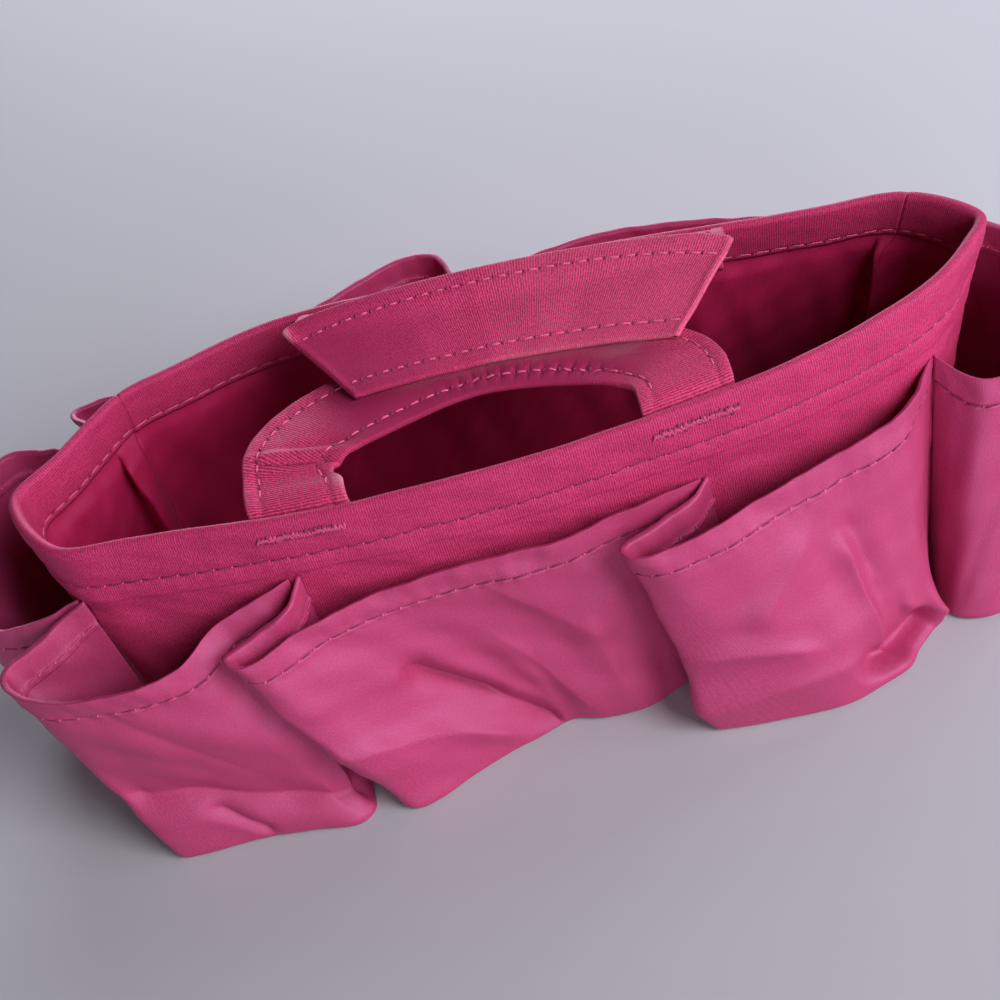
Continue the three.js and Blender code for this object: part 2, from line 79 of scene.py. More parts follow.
# How thick the single cloths are, and about how far apart the columns of their grids are
FELT_CLOTH = 0.35
LINING_CLOTH = 0.3
POCKET_CLOTH = 0.4
BASE_CLOTH = 0.45
WALL_SPACING = 0.94
FELT_SPACING = 3.0
LINING_SPACING = 0.75
POCKET_SPACING = 0.75

# A grid's rows are close together this far on both sides of a row of stitches, down to this
# height on the wall, and down to this distance from a pocket's mouth
STITCH_BAND = 1.2
CLOSE_ON_WALL = 64
CLOSE_ON_POCKET = 14

# The tub's outlines go round from the left tip along the front and back behind. A place on
# the wall is a count of these points, so place 10 is on the right tip's back side
RIM = [
    (-126, 0), (-114, -24), (-92, -29.5), (-56, -36.5), (0, -41), (51, -38.5),
    (90, -31.5), (119, -21.5), (135.5, -8), (141.5, 1), (127, 18.5), (99, 24),
    (50, 33.7), (8, 39.5), (-52, 43), (-82, 35.5), (-96, 31), (-113, 14),
]
BASE = [
    (-112, 0), (-104, -36), (-92, -44), (-56, -46), (0, -46), (51, -46),
    (90, -44), (108, -36), (117, -14), (118, 2), (110, 34), (94, 42),
    (50, 46), (8, 46), (-52, 46), (-82, 44), (-100, 36), (-111, 15),
]
POINTS = len(RIM)
LEFT_SEAM = 16 - POINTS
RIGHT_SEAM = 10

# Each pocket: the places of its two seams, the height it is sewn to at each, its mouth and
# its foot from one seam to the other, and its creases. A crease has its start and end as
# distances along the mouth and down the face, then what crease() takes
POCKETS = {
    "pocket_front_left": dict(
        seams=(1, 3), tops=(73, 72),
        mouth=[(-119.6, -28.6, 70), (-125.5, -31.3, 68.3), (-131.7, -33.9, 67), (-136, -36.3, 66.4),
               (-137.2, -40, 66), (-134, -45.5, 66), (-127, -51, 66),
               (-106, -56, 66), (-90, -53, 66), (-79, -44, 68), (-66, -42, 71)],
        foot=[(-107, -44), (-109, -48), (-111, -52), (-113, -56), (-114, -60.3), (-112.5, -62.5),
              (-107.3, -63.4), (-89.4, -63.8), (-74.4, -65.8), (-61, -68), (-56.5, -64.5), (-56.5, -56)],
        creases=[
            ((38, 46), (108, 67), -4.8, 11, 34, 8),
            ((97, 10), (101, 62), 2.2, 20, 12, 10),
            ((52, 57), (60, 68), -2.4, 5, 8, 4),
            ((60, 12), (72, 40), -1.4, 16, 24, 12),
        ],
    ),
    "pocket_front_middle": dict(
        seams=(3, 5), tops=(72, 67),
        mouth=[(-59, -46, 70), (-70, -50.5, 67), (-78, -54, 66), (-74, -58, 65),
               (-57, -52, 66), (-36, -47, 66), (-10, -47, 67), (12, -48, 67),
               (28, -45.5, 68), (41, -43.5, 68)],
        foot=[(-53, -52), (-50.8, -60), (-49, -66), (-45.5, -68.3), (-39, -66.8), (-31, -63),
              (-18.3, -58.4), (-9, -56), (-2.5, -53.7), (1, -53.2), (10, -56), (22.3, -56.5), (31, -53),
              (40, -50.5)],
        creases=[
            ((63, 31.5), (94, 68), -4.4, 20, 11, 6, 4.2, 0.5),
            ((62, 31), (76, 50), -2.6, 12, 9, 5, 2.0, 0.5),
            ((31, 20), (31, 54), 4.0, 10, 26, 14),
            ((32, 42), (66, 66), 1.6, 9, 14, 8),
            ((103, 11), (127, 33), 1.4, 12, 16, 8),
            ((126, 30), (132, 60), 1.4, 14, 12, 10),
            ((96, 30), (120, 58), 1.5, 16, 16, 12),
        ],
    ),
    "pocket_front_right": dict(
        seams=(5, 7), tops=(67, 70),
        mouth=[(47, -45.5, 66), (35, -50, 65), (25.5, -55, 65), (29, -59.5, 65),
               (47, -58, 66), (63, -52, 66), (86, -45.5, 67), (104, -39, 68)],
        foot=[(44, -54), (40, -60), (37.4, -66), (37.8, -69.8), (42, -71),
              (57, -73), (74, -73.9), (85, -71), (93.3, -67.9), (97.3, -63.4), (102.4, -59.2),
              (105.4, -56.2), (104.8, -50)],
        creases=[
            ((85, 10), (47, 34), 1.5, 8, 18, 8),
            ((82, 26), (68, 64), 2.4, 10, 8, 7),
            ((88, 21), (86, 37), -1.4, 8, 8, 6, 0.0, 1.0),
            ((60, 68), (103, 64), -7.5, 5, 16, 8, 0.0, 1.2),
            ((91, 55), (119, 73), 3.2, 6, 12, 5, -3.0, 0.8),
            ((33, 39), (50, 49), 2.2, 10, 8, 6),
            ((24, 57), (60, 61), 3.2, 14, 28, 14),
        ],
    ),
    "pocket_right_end": dict(
        seams=(7, 10), tops=(70, 70),
        mouth=[(122.5, -30, 67), (128, -34.5, 66), (140, -33, 66), (153, -23, 66),
               (159, -6, 66), (158, 12, 66), (149, 27, 66), (137, 30, 68)],
        foot=[(108, -47), (108.8, -54.6), (112.4, -57.6), (121, -58.9), (138, -50),
              (149, -26), (151, 4), (143, 28), (126, 42)],
        creases=[
            ((62, 14), (80, 60), -2.6, 12, 14, 10, 3.0, 0.8),
            ((98, 30), (92, 64), 2.2, 10, 10, 8),
        ],
    ),
    "pocket_back_right": dict(
        seams=(10, 13), tops=(70, 70),
        mouth=[(122, 34, 68), (111, 45, 66), (97, 54, 66), (80, 61, 66),
               (58, 68, 66), (36, 70, 66), (20, 66, 66), (12, 54, 68)],
        foot=[(110, 48), (101, 60), (87, 68), (66, 72),
              (46, 72), (30, 70), (18, 66), (12, 56)],
        creases=[
            ((30, 16), (48, 58), 2.4, 12, 12, 10),
            ((108, 14), (76, 60), -3.2, 14, 14, 10, -3.0, 0.8),
            ((52, 56), (84, 66), -2.8, 8, 9, 6),
        ],
    ),
    "pocket_back_left": dict(
        seams=(13, 16), tops=(70, 70),
        mouth=[(4.5, 56, 68), (2, 70, 66), (-1, 82, 66), (-10, 86, 66), (-36, 77, 65.5),
               (-60, 69, 64), (-92, 62, 64), (-111, 62, 65), (-118, 58, 66), (-110, 46, 68)],
        foot=[(5, 58), (2, 68), (-6, 73), (-20, 74), (-45, 73),
              (-68, 72), (-88, 70), (-102, 67), (-108, 58), (-104, 48)],
        creases=[
            ((22, 16), (56, 60), -3.4, 14, 16, 10, 4.0, 0.8),
            ((78, 24), (66, 62), 2.8, 12, 10, 10),
            ((98, 36), (140, 62), -3.6, 12, 10, 8, 3.0, 0.8),
            ((122, 16), (146, 44), 2.2, 14, 12, 10),
        ],
    ),
    "pocket_left_end": dict(
        seams=(16, 19), tops=(70, 73),
        mouth=[(-113, 36, 68), (-126, 45, 66), (-138, 48, 66), (-149, 38, 66),
               (-155, 18, 66), (-154, -4, 66), (-147, -17.5, 66), (-138, -22.5, 66),
               (-132, -23.9, 67), (-125.5, -25.1, 68.5), (-119.5, -25.3, 70.3)],
        foot=[(-112, 42), (-124, 46), (-134, 42), (-142, 28), (-145, 10), (-143, -8),
              (-137, -19), (-130, -26), (-124, -30), (-118, -33), (-112, -35)],
        creases=[
            ((34, 16), (50, 58), 2.4, 12, 12, 10),
            ((84, 30), (66, 62), -2.8, 12, 12, 8, -2.0, 0.8),
        ],
    ),
}
SEAM_SPACING = 1.1

# Folds of loose lining on the inside of the wall: place round the outline, width in places
# of the slope before it and of the slope after it, depth in millimetres, how far the fold's
# foot leans along the outline, how round its crest is, where 1 is a sharp ridge, and how far
# its crest lies over along the outline
LINING_FOLDS = [
    (16.24, 0.34, 0.15, 8.0, 0.1, 1.8, 0.24), (10.10, 0.26, 0.14, 6.5, -0.55, 1.5, 0.16),
    (11.6, 0.25, 0.5, 2.6, 0.1, 1.4, 0.0),
    (13.1, 0.6, 0.5, 1.6, 0.2, 1.0, 0.0), (11.3, 0.5, 0.7, 2.4, 0.2, 1.0, 0.0),
    (5.6, 0.7, 0.7, 1.8, -0.2, 1.0, 0.0), (2.3, 0.5, 0.5, 2.0, 0.1, 1.0, 0.0),
]

# Handles. The front one's edges are drawn across and out from its hinge line. Of the back
# one: where its hinge line is, how far each leg is from the middle and the crease from the
# hinge line, half the creased and half the free edge, how far out the free edge is, how the
# creased edge bows and curls up, both slopes and the hinge line's heading
STRAP_WIDTH = 25.5
PIVOT_HEIGHT = 90.4
FRONT = dict(
    x=1.0, y=-31.237, tilt=-2.0, crease=(-50.0, 13.0),
    outer=[(-63.6, 0), (-63.3, 10), (-62.3, 18.5), (-58.3, 26.5), (-51.5, 32.6), (-41, 37.8),
           (-22, 43.5), (0, 46), (20, 44), (38, 37.5), (49, 30), (56.8, 21.8), (61.4, 15.5),
           (63.4, 8), (63.8, 0)],
    inner=[(-38.2, 0), (-37.4, 2.6), (-39.6, 7), (-34.7, 10.6), (-27, 13.8), (-15, 17.2),
           (0, 18.8), (15, 16.4), (27, 12.4), (34.5, 8.6), (38.2, 4.4), (38.9, 0)])
BACK = dict(
    x=18.0, y=31.570, leg=47.0, crease=19.0, overhang=61.2, near=42.5, free=21.4, bow=7.6,
    curl=2.4, legs_tilt=25.0, droop=14.0, turn=(-0.992151, 0.125049))
FRONT_PLACES = (1, 7)
BACK_PLACES = (11, 15)


def length_setting(label, description, millimetres):
    """A setting that is a length."""
    return FloatProperty(name=label, description=description, default=millimetres * MM, unit="LENGTH")


def colour_setting(label, description, *mix):
    """A setting that is a colour, as linear red, green and blue."""
    return FloatVectorProperty(
        name=label, description=description, subtype="COLOR", size=3, min=0, max=1, default=mix)


class TubSizes(PropertyGroup):
    """Sizes of the tub's rim and lining"""
    stitch_drop: length_setting("Stitch drop", "Top of the rim down to its row of stitches", 12.5)
    facing_below: length_setting("Facing below stitches", "Stitches down to the facing's lower edge", 2.2)
    ridge_drop: length_setting("Pressed ridge drop", "Stitches down to the ridge at the facing's edge", 4.6)
    quilting: length_setting("Rim fullness", "How far the cloth swells above the rim's stitches", 0.35)
    cloth: length_setting("Cloth thickness", "Thickness of one layer of the outer cloth", 0.45)
    slack: length_setting("Lining slack", "How far the loose lining waves", 0.9)


class PocketSizes(PropertyGroup):
    """Sizes shared by the pockets"""
    hem: length_setting("Hem depth", "Mouth's edge down to the hem's stitches", 7.6)
    turning: length_setting("Hem turning", "Mouth's edge down to the inner edge of the turned hem", 9.0)
    roll: length_setting("Foot roll", "How far from the foot's fold the cloth begins to turn under", 3.0)
    slack: length_setting("Pocket slack", "How far the loose cloth waves", 0.7)


class StrapSizes(PropertyGroup):
    """Sizes shared by the two handles"""
    thickness: length_setting("Strap thickness", "Thickness of a strap between its rows of stitches", 1.9)
    inset: length_setting("Stitch inset", "Edge of a strap in to its row of stitches", 3.9)


class ThreadSizes(PropertyGroup):
    """Sizes of the sewing thread"""
    pitch: length_setting("Stitch pitch", "Length of one stitch on rim and hems", 4.9)
    strap_pitch: length_setting("Strap stitch pitch", "Length of one stitch on the handles", 4.2)
    radius: length_setting("Thread radius", "Half the thickness of the thread", 0.24)


class OrganizerColours(PropertyGroup):
    """Colours of the cloth, thread and stage"""
    outer: colour_setting("Outer cloth", "Satin twill outside and round the rim", 0.500, 0.024, 0.120)
    # Painted sheen: the pocket colour's extra green and blue over the outer cloth's stand in for the sheen
    # on the pockets' faces.
    pocket: colour_setting("Pocket cloth", "The thinner twill of the pockets", 0.492, 0.034, 0.138)
    lining: colour_setting("Lining", "Silky lining of the tub", 0.430, 0.010, 0.080)
    # Painted sheen: part of the strap colour's green and blue stands in for the violet sheen on the
    # handles.
    strap: colour_setting("Strap", "Cloth of the handles", 0.560, 0.034, 0.142)
    thread: colour_setting("Thread", "Sewing thread", 0.620, 0.060, 0.200)
    felt: colour_setting("Felt", "Stiffening inside wall and straps", 0.80, 0.77, 0.74)
    board: colour_setting("Base board", "Stiff board in the base", 0.26, 0.25, 0.245)
    floor: colour_setting("Floor", "Surface the organizer stands on", 0.490, 0.490, 0.565)


# Curves and fields


def spline(points, share, closed=False):
    """Centripetal Catmull-Rom curve through points, at shares of its way round.

    Each span is a cubic with given end slopes; a slope weighs the chords on its two sides
    by the square roots of their lengths."""
    points = np.asarray(points, float)
    share = np.asarray(share, float)
    count = len(points)
    if closed:
        where = (share % 1.0) * count
        first = np.floor(where).astype(int)
        p0, p1, p2, p3 = (points[(first + k) % count] for k in (-1, 0, 1, 2))
    else:
        where = np.clip(share, 0, 1) * (count - 1)
        first = np.minimum(np.floor(where).astype(int), count - 2)
        padded = np.vstack([2 * points[0] - points[1], points, 2 * points[-1] - points[-2]])
        p0, p1, p2, p3 = (padded[first + k] for k in range(4))
    rest = (where - first)[..., None]

    def root(a, b):
        return np.maximum(np.sqrt(np.linalg.norm(b - a, axis=-1, keepdims=True)), 1e-4)

    d0, d1, d2 = root(p0, p1), root(p1, p2), root(p2, p3)
    slope1 = ((p1 - p0) / d0 - (p2 - p0) / (d0 + d1) + (p2 - p1) / d1) * d1
    slope2 = ((p2 - p1) / d1 - (p3 - p1) / (d1 + d2) + (p3 - p2) / d2) * d1
    square = -3 * p1 + 3 * p2 - 2 * slope1 - slope2
    cube = 2 * p1 - 2 * p2 + slope1 + slope2
    return p1 + slope1 * rest + square * rest**2 + cube * rest**3


def unit(vectors):
    """Vectors divided by their lengths."""
    return vectors / np.maximum(np.linalg.norm(vectors, axis=-1, keepdims=True), 1e-9)


def smooth(low, high, value):
    """Rises from 0 at low to 1 at high, as 3t^2 - 2t^3."""
    t = np.clip((value - low) / (high - low), 0, 1)
    return t * t * (3 - 2 * t)


def bump(value, width):
    """1 at 0, falling as exp(-(value / width)^2)."""
    return np.exp(-((value / width) ** 2))


def wall_at(place, height, outwards):
    """The tub's wall: the base outline and the rim outline, mixed in the ratio of the height.

    place counts outline points round the tub, and outwards is measured square to the wall
    in the horizontal plane."""
    place, height, outwards = np.broadcast_arrays(
        np.asarray(place, float), np.asarray(height, float), np.asarray(outwards, float))
    share = place / POINTS
    step = 1e-4
    lift = (height / RIM_HEIGHT)[..., None]

    def heading(outline):
        return unit(spline(outline, share + step, True) - spline(outline, share - step, True))

    ground = spline(BASE, share, True) * (1 - lift) + spline(RIM, share, True) * lift
    along = unit(heading(BASE) * (1 - lift) + heading(RIM) * lift)
    square = np.stack([along[..., 1], -along[..., 0]], axis=-1)
    ground = ground + square * outwards[..., None]
    return np.concatenate([ground, height[..., None]], axis=-1)


def place_at_x(x, places, height=None):
    """The place on a stretch of the wall where X is the one given, by a fine table."""
    table = np.linspace(places[0], places[1], 2001)
    level = RIM_HEIGHT if height is None else height
    xs = wall_at(table, level, 0.0)[:, 0]
    order = np.argsort(xs)
    return np.interp(x, xs[order], table[order])


def stitch_line(distance, run, pitch, pucker):
    """How a row of stitches draws cloth in: a groove on the row, a little deeper at each
    stitch, and puckers on both sides of it that change sign across the row."""
    wave = np.cos(2 * np.pi * run / pitch)
    groove = -0.62 * bump(distance, 0.5) * (0.8 + 0.2 * wave)
    return groove + pucker * wave * bump(distance, 2.4) * np.sign(distance)


def rounded(start, corner, end, share):
    """A parabola from start to end that leaves and arrives along the lines to a corner."""
    return start * (1 - share) ** 2 + 2 * corner * share * (1 - share) + end * share**2


def lengths(points, axis):
    """Distance run along an axis of a grid of points, from its start."""
    steps = np.linalg.norm(np.diff(points, axis=axis), axis=-1)
    run = np.cumsum(steps, axis=axis)
    start = np.zeros_like(np.take(run, [0], axis=axis))
    return np.concatenate([start, run], axis=axis)


def normals(grid):
    """Unit normals of a grid: the step down its rows crossed with the step along them."""
    down = np.gradient(grid, axis=0)
    along = np.gradient(grid, axis=1)
    return unit(np.cross(down, along))


def waves(u, v, seed, longest, count=6):
    """Smooth random waving between about -1 and 1: a sum of seeded sines, each shorter
    and lower than the one before."""
    draw = np.random.RandomState(seed)
    total = np.zeros(np.broadcast(u, v).shape)
    weight = 0.0
    for k in range(count):
        size = longest * 0.72**k
        turn, start = draw.uniform(0, 2 * np.pi, 2)
        total = total + 0.72**k * np.sin(
            2 * np.pi * (u * np.cos(turn) + v * np.sin(turn)) / size + start)
        weight += 0.72**k
    return total / weight * 1.4


def crease(u, v, start, end, height, near, far, ends=6.0, bend=0.0, soft=0.35):
    """A crease from start to end: a line with a straight slope on each side.

    Height is reached on the line. The slope to the left of it is near wide and the slope
    to the right far wide, both easing out, and the height fades over the given length at
    each end. The line bows to the left by the bend, on a parabola, and its edge is rounded
    by soft."""
    a = np.asarray(start, float)
    b = np.asarray(end, float)
    run = np.linalg.norm(b - a)
    du, dv = (b - a) / run
    along = (u - a[0]) * du + (v - a[1]) * dv
    across = (u - a[0]) * dv - (v - a[1]) * du
    share = np.clip(along / run, 0, 1)
    across = across + bend * 4 * share * (1 - share)
    width = np.where(across < 0, near, far)
    distance = np.sqrt(across**2 + soft**2) - soft
    slope = np.clip(1 - distance / width, 0, 1) ** 2
    fade = smooth(-ends, ends * 0.4, along) * (1 - smooth(run - ends * 0.4, run + ends, along))
    return height * slope * fade


# Meshes


def finish_mesh(name, points, faces, uv, closed_body=False):
    """A smooth mesh object from points in millimetres, quads and a UV in metres per point."""
    mesh = bpy.data.meshes.new(name)
    mesh.from_pydata((points * MM).tolist(), [], faces.tolist())
    layer = mesh.uv_layers.new(name="cloth")
    corner = np.zeros(len(mesh.loops), np.int32)
    mesh.loops.foreach_get("vertex_index", corner)
    layer.data.foreach_set("uv", uv[corner].astype(np.float32).ravel())
    mesh.shade_smooth()
    mesh.update()
    made = bpy.data.objects.new(name, mesh)
    bpy.context.scene.collection.objects.link(made)
    if closed_body:
        weld = made.modifiers.new("Close seams", "WELD")
        weld.merge_threshold = 0.002 * MM
    return made


def grid_faces(rows, columns, offset=0):
    """Quads of a grid, each turned so that its face points to down crossed with along."""
    r, c = np.meshgrid(np.arange(rows - 1), np.arange(columns - 1), indexing="ij")
    a = (offset + r * columns + c).ravel()
    return np.stack([a, a + columns, a + columns + 1, a + 1], axis=1)


def cloth_uv(grid):
    """Metres along and metres down a grid, taken on its middle row and column."""
    along = lengths(grid, 1)
    down = lengths(grid, 0)
    middle = grid.shape[1] // 2
    u = np.repeat(along[[grid.shape[0] // 2], :], grid.shape[0], axis=0)
    v = np.repeat(down[:, [middle]], grid.shape[1], axis=1)
    return np.stack([u, v], axis=-1) * MM


def cloth(name, grid, thickness, uv=None):
    """One layer of cloth over a grid of points, its thickness away from the side seen."""
    rows, columns = grid.shape[:2]
    uv = cloth_uv(grid) if uv is None else uv
    made = finish_mesh(name, grid.reshape(-1, 3), grid_faces(rows, columns), uv.reshape(-1, 2))
    if thickness:
        layer = made.modifiers.new("Cloth", "SOLIDIFY")
        layer.thickness = thickness
        layer.offset = -1
        layer.use_even_offset = False
    return made


def strap(name, middle, half):
    """A closed strap: the middle surface moved by half its thickness each way.

    half is zero along the two long edges, so both sides meet there, and the two short
    ends are closed by a strip."""
    rows, columns = middle.shape[:2]
    square = normals(middle)
    top = middle + square * half[..., None]
    under = middle - square * half[..., None]
    uv = cloth_uv(middle)[..., ::-1]
    count = rows * columns
    faces = grid_faces(rows, columns)
    back = grid_faces(rows, columns, count)[:, ::-1]
    c = np.arange(columns - 1)
    first = np.stack([c, c + 1, c + 1 + count, c + count], axis=1)
    tail = c + (rows - 1) * columns
    last = np.stack([tail, tail + count, tail + 1 + count, tail + 1], axis=1)
    return finish_mesh(
        name, np.concatenate([top.reshape(-1, 3), under.reshape(-1, 3)]),
        np.concatenate([faces, back, first, last]),
        np.concatenate([uv.reshape(-1, 2), uv.reshape(-1, 2)]), closed_body=True)


def set_values(made, name, values):
    """Stores one number per point on a piece, for its material to read."""
    attribute = made.data.attributes.new(name, "FLOAT", "POINT")
    attribute.data.foreach_set("value", np.ravel(values).astype(np.float32))


THREAD_SIDES = 6
THREAD_RINGS = 7
THREAD_CAP = np.array([[0, 1, 2, 3], [0, 3, 4, 5]])


def threads(name, middles, headings, square, length, radius, arch=0.9):
    """Short threads: each is a six-sided tube along its heading whose ends dip into the cloth.

    The tube's middle line stands arch radii above the cloth times 1 - (2x / length)^4, and
    its radius closes to a point at both ends."""
    x = np.linspace(-0.5, 0.5, THREAD_RINGS)
    rise = arch * (1 - (2 * x) ** 4) - 0.35
    girth = np.sqrt(np.clip(1 - (2 * x) ** 6, 0.02, 1))
    turn = np.arange(THREAD_SIDES) * 2 * np.pi / THREAD_SIDES
    count = len(middles)
    size = np.broadcast_to(np.asarray(length, float), (count,))
    side = unit(np.cross(square, headings))
    spot = (middles[:, None, None]
            + headings[:, None, None] * (size[:, None] * x)[..., None, None]
            + square[:, None, None] * (rise * radius)[:, None, None]
            + side[:, None, None] * (np.cos(turn) * girth[:, None] * radius)[..., None]
            + square[:, None, None] * (np.sin(turn) * girth[:, None] * radius * 0.8)[..., None])
    ring, spoke = np.meshgrid(
        np.arange(THREAD_RINGS - 1) * THREAD_SIDES, np.arange(THREAD_SIDES), indexing="ij")
    beside = (spoke + 1) % THREAD_SIDES
    tube = np.stack([ring + spoke, ring + THREAD_SIDES + spoke,
                     ring + THREAD_SIDES + beside, ring + beside], axis=-1).reshape(-1, 4)
    last = (THREAD_RINGS - 1) * THREAD_SIDES
    first = (np.arange(count) * THREAD_RINGS * THREAD_SIDES)[:, None, None]
    faces = [(quads + first).reshape(-1, 4)
             for quads in (tube, THREAD_CAP, last + THREAD_CAP[:, ::-1])]
    points = spot.reshape(-1, 3)
    uv = np.stack([points[:, 0], points[:, 2]], axis=1) * MM
    return finish_mesh(name, points, np.concatenate(faces), uv)


def stitches(name, path, square, pitch, radius, seed, share=(0.8, 0.8), jitter=0.12):
    """A row of stitches along a path on a cloth, with the cloth's normals along it.

    A stitch covers a share of each pitch, given for the start and the end of the row. In
    each gap a short slanting loop of the other thread comes up."""
    run = lengths(path, 0)
    count = max(2, int(run[-1] / pitch))
    draw = np.random.RandomState(seed)
    where = (np.arange(count) + 0.5) * run[-1] / count + draw.uniform(-1, 1, count) * jitter

    def sample(values, at):
        return np.stack([np.interp(at, run, values[:, k]) for k in range(3)], axis=1)

    def frames(at):
        heading = unit(sample(path, at + 0.4) - sample(path, at - 0.4))
        return sample(path, at), heading, unit(sample(square, at))

    middles, headings, up = frames(where)
    sideways = unit(np.cross(up, headings))
    headings = unit(headings + sideways * draw.uniform(-0.07, 0.07, (count, 1)))
    spans = pitch * np.linspace(share[0], share[1], count) * draw.uniform(0.9, 1.06, count)
    row = threads(name, middles, headings, up, spans, radius)
    middles, headings, up = frames((where[1:] + where[:-1]) / 2)
    sideways = unit(np.cross(up, headings))
    slant = unit(sideways + headings * draw.uniform(0.2, 0.9, (count - 1, 1)))
    loops = threads(name + "_loops", middles, slant, up, radius * 4.2, radius * 0.95, arch=1.2)
    return row, loops


def sew(name, path, square, pitch, radius, seed, looks=("shaded_thread", "lit_thread"), share=(0.8, 0.8),
        body="bag", blend=None):
    """Makes a row of stitches, dresses its threads and loops, and returns both."""
    row = stitches(name, path, square, pitch, radius, seed, share)
    for made, look in zip(row, looks):
        dress(made, look, body, blend=blend)
    return list(row)


# Finishes


def fill(tree, socket, value):
    """Gives a socket the link, the value or the colour that it is handed."""
    if hasattr(value, "is_output"):
        tree.links.new(value, socket)
    elif socket.type == "RGBA":
        socket.default_value = (*value[:3], 1.0)
    else:
        socket.default_value = value


def add_node(tree, kind, sockets=(), **settings):
    """A new shader node with its settings and, by name or number, what its sockets take."""
    node = tree.nodes.new("ShaderNode" + kind)
    for name, value in settings.items():
        setattr(node, name, value)
    for name, value in dict(sockets).items():
        fill(tree, node.inputs[name], value)
    return node


def math_node(tree, operation, a, b, clamp=False):
    """The result of one sum or product of two values or links."""
    return add_node(tree, "Math", {0: a, 1: b}, operation=operation, use_clamp=clamp).outputs[0]


def noise(tree, vector, scale, detail, roughness=0.5):
    """Smooth noise at a vector."""
    return add_node(tree, "TexNoise", {
        "Vector": vector, "Scale": scale, "Detail": detail, "Roughness": roughness}).outputs["Fac"]


def spread(tree, value, low, high, **settings):
    """A value stretched so that low to high becomes 0 to 1."""
    return add_node(tree, "MapRange", {
        "Value": value, "From Min": low, "From Max": high}, **settings).outputs["Result"]


def bumped(tree, height, depth, **sockets):
    """The normal of a surface with a height at a depth in millimetres."""
    return add_node(tree, "Bump", {"Height": height, "Distance": depth * MM, **sockets}).outputs["Normal"]


def mix_colour(tree, factor, a, b):
    """Mixes two colours by a factor; each is a colour or a link."""
    return add_node(tree, "Mix", {"Factor": factor, "A": a, "B": b}, data_type="RGBA").outputs["Result"]


def tint(colour, factor, white=0.0):
    """A colour made darker or lighter by a factor, then mixed with white."""
    return tuple(min(1.0, c * factor) * (1 - white) + white for c in colour)


def node_group(name, numbers, outputs):
    """A shader node group that takes a vector and named numbers and gives named numbers."""
    group = bpy.data.node_groups.new(name, "ShaderNodeTree")
    group.interface.new_socket("Vector", in_out="INPUT", socket_type="NodeSocketVector")
    for label, value in numbers.items():
        socket = group.interface.new_socket(label, in_out="INPUT", socket_type="NodeSocketFloat")
        socket.default_value = value
    for label in outputs:
        group.interface.new_socket(label, in_out="OUTPUT", socket_type="NodeSocketFloat")
    return group, group.nodes.new("NodeGroupInput").outputs, group.nodes.new("NodeGroupOutput").inputs


def weave_group():
    """Satin twill: short raised threads that run down V in rows one thread apart, a speckle
    where single threads catch the light, faint ribs along U and coarse slubs.

    Height is about a quarter of the threads, a little more of the speckle, and as much of
    the ribs as is asked for. Tone is the height with a tenth of slubs."""
    group, source, result = node_group(
        "Satin twill", {"Threads per metre": 2000.0, "Ribs": 0.5}, ("Height", "Tone"))
    scaled = add_node(group, "VectorMath", {
        0: source["Vector"], "Scale": source["Threads per metre"]}, operation="SCALE").outputs[0]

    def drawn(stretch, scale, detail, low, high):
        """Noise on the threads' own grid, stretched along V, and spread from 0 to 1."""
        vector = add_node(group, "VectorMath", {
            0: scaled, 1: (1.0, stretch, 1.0)}, operation="MULTIPLY").outputs[0]
        return spread(group, noise(group, vector, scale, detail), low, high)

    def weighted(value, weight):
        return math_node(group, "MULTIPLY", value, weight)

    def add(a, b):
        return math_node(group, "ADD", a, b)

    raised = drawn(0.7, 1.1, 0.0, 0.30, 0.70)
    speckle = drawn(1.0, 1.8, 0.0, 0.38, 0.74)
    slub = drawn(0.25, 0.11, 2.0, 0.30, 0.70)
    ribs = add_node(group, "TexWave", {
        "Vector": scaled, "Scale": 0.314, "Distortion": 1.1, "Detail": 1.0}, bands_direction="X")
    height = add(weighted(raised, 0.26), weighted(speckle, 0.30))
    height = add(height, weighted(ribs.outputs["Fac"], source["Ribs"]))
    fill(group, result["Height"], height)
    fill(group, result["Tone"], add(weighted(height, 0.9), weighted(slub, 0.1)))
    return group


def rumple_group():
    """Small soft rumples and a cloudy tone over a piece, both from smooth noise."""
    group, source, result = node_group("Cloth rumples", {"Size": 70.0}, ("Height", "Cloud"))
    fill(group, result["Height"], noise(group, source["Vector"], source["Size"], 3.0, 0.45))
    fill(group, result["Cloud"], noise(group, source["Vector"], 22.0, 4.0))
    return group


def new_material(name):
    """A new material, its tree, its shader's sockets and the object's own coordinates."""
    material = bpy.data.materials.new(name)
    material.use_nodes = True
    tree = material.node_tree
    room = add_node(tree, "TexCoord").outputs["Object"]
    return material, tree, tree.nodes["Principled BSDF"].inputs, room


def fill_shader(tree, shader, sockets):
    """Gives a shader what each of its named sockets takes."""
    for label, value in sockets.items():
        fill(tree, shader[label], value)


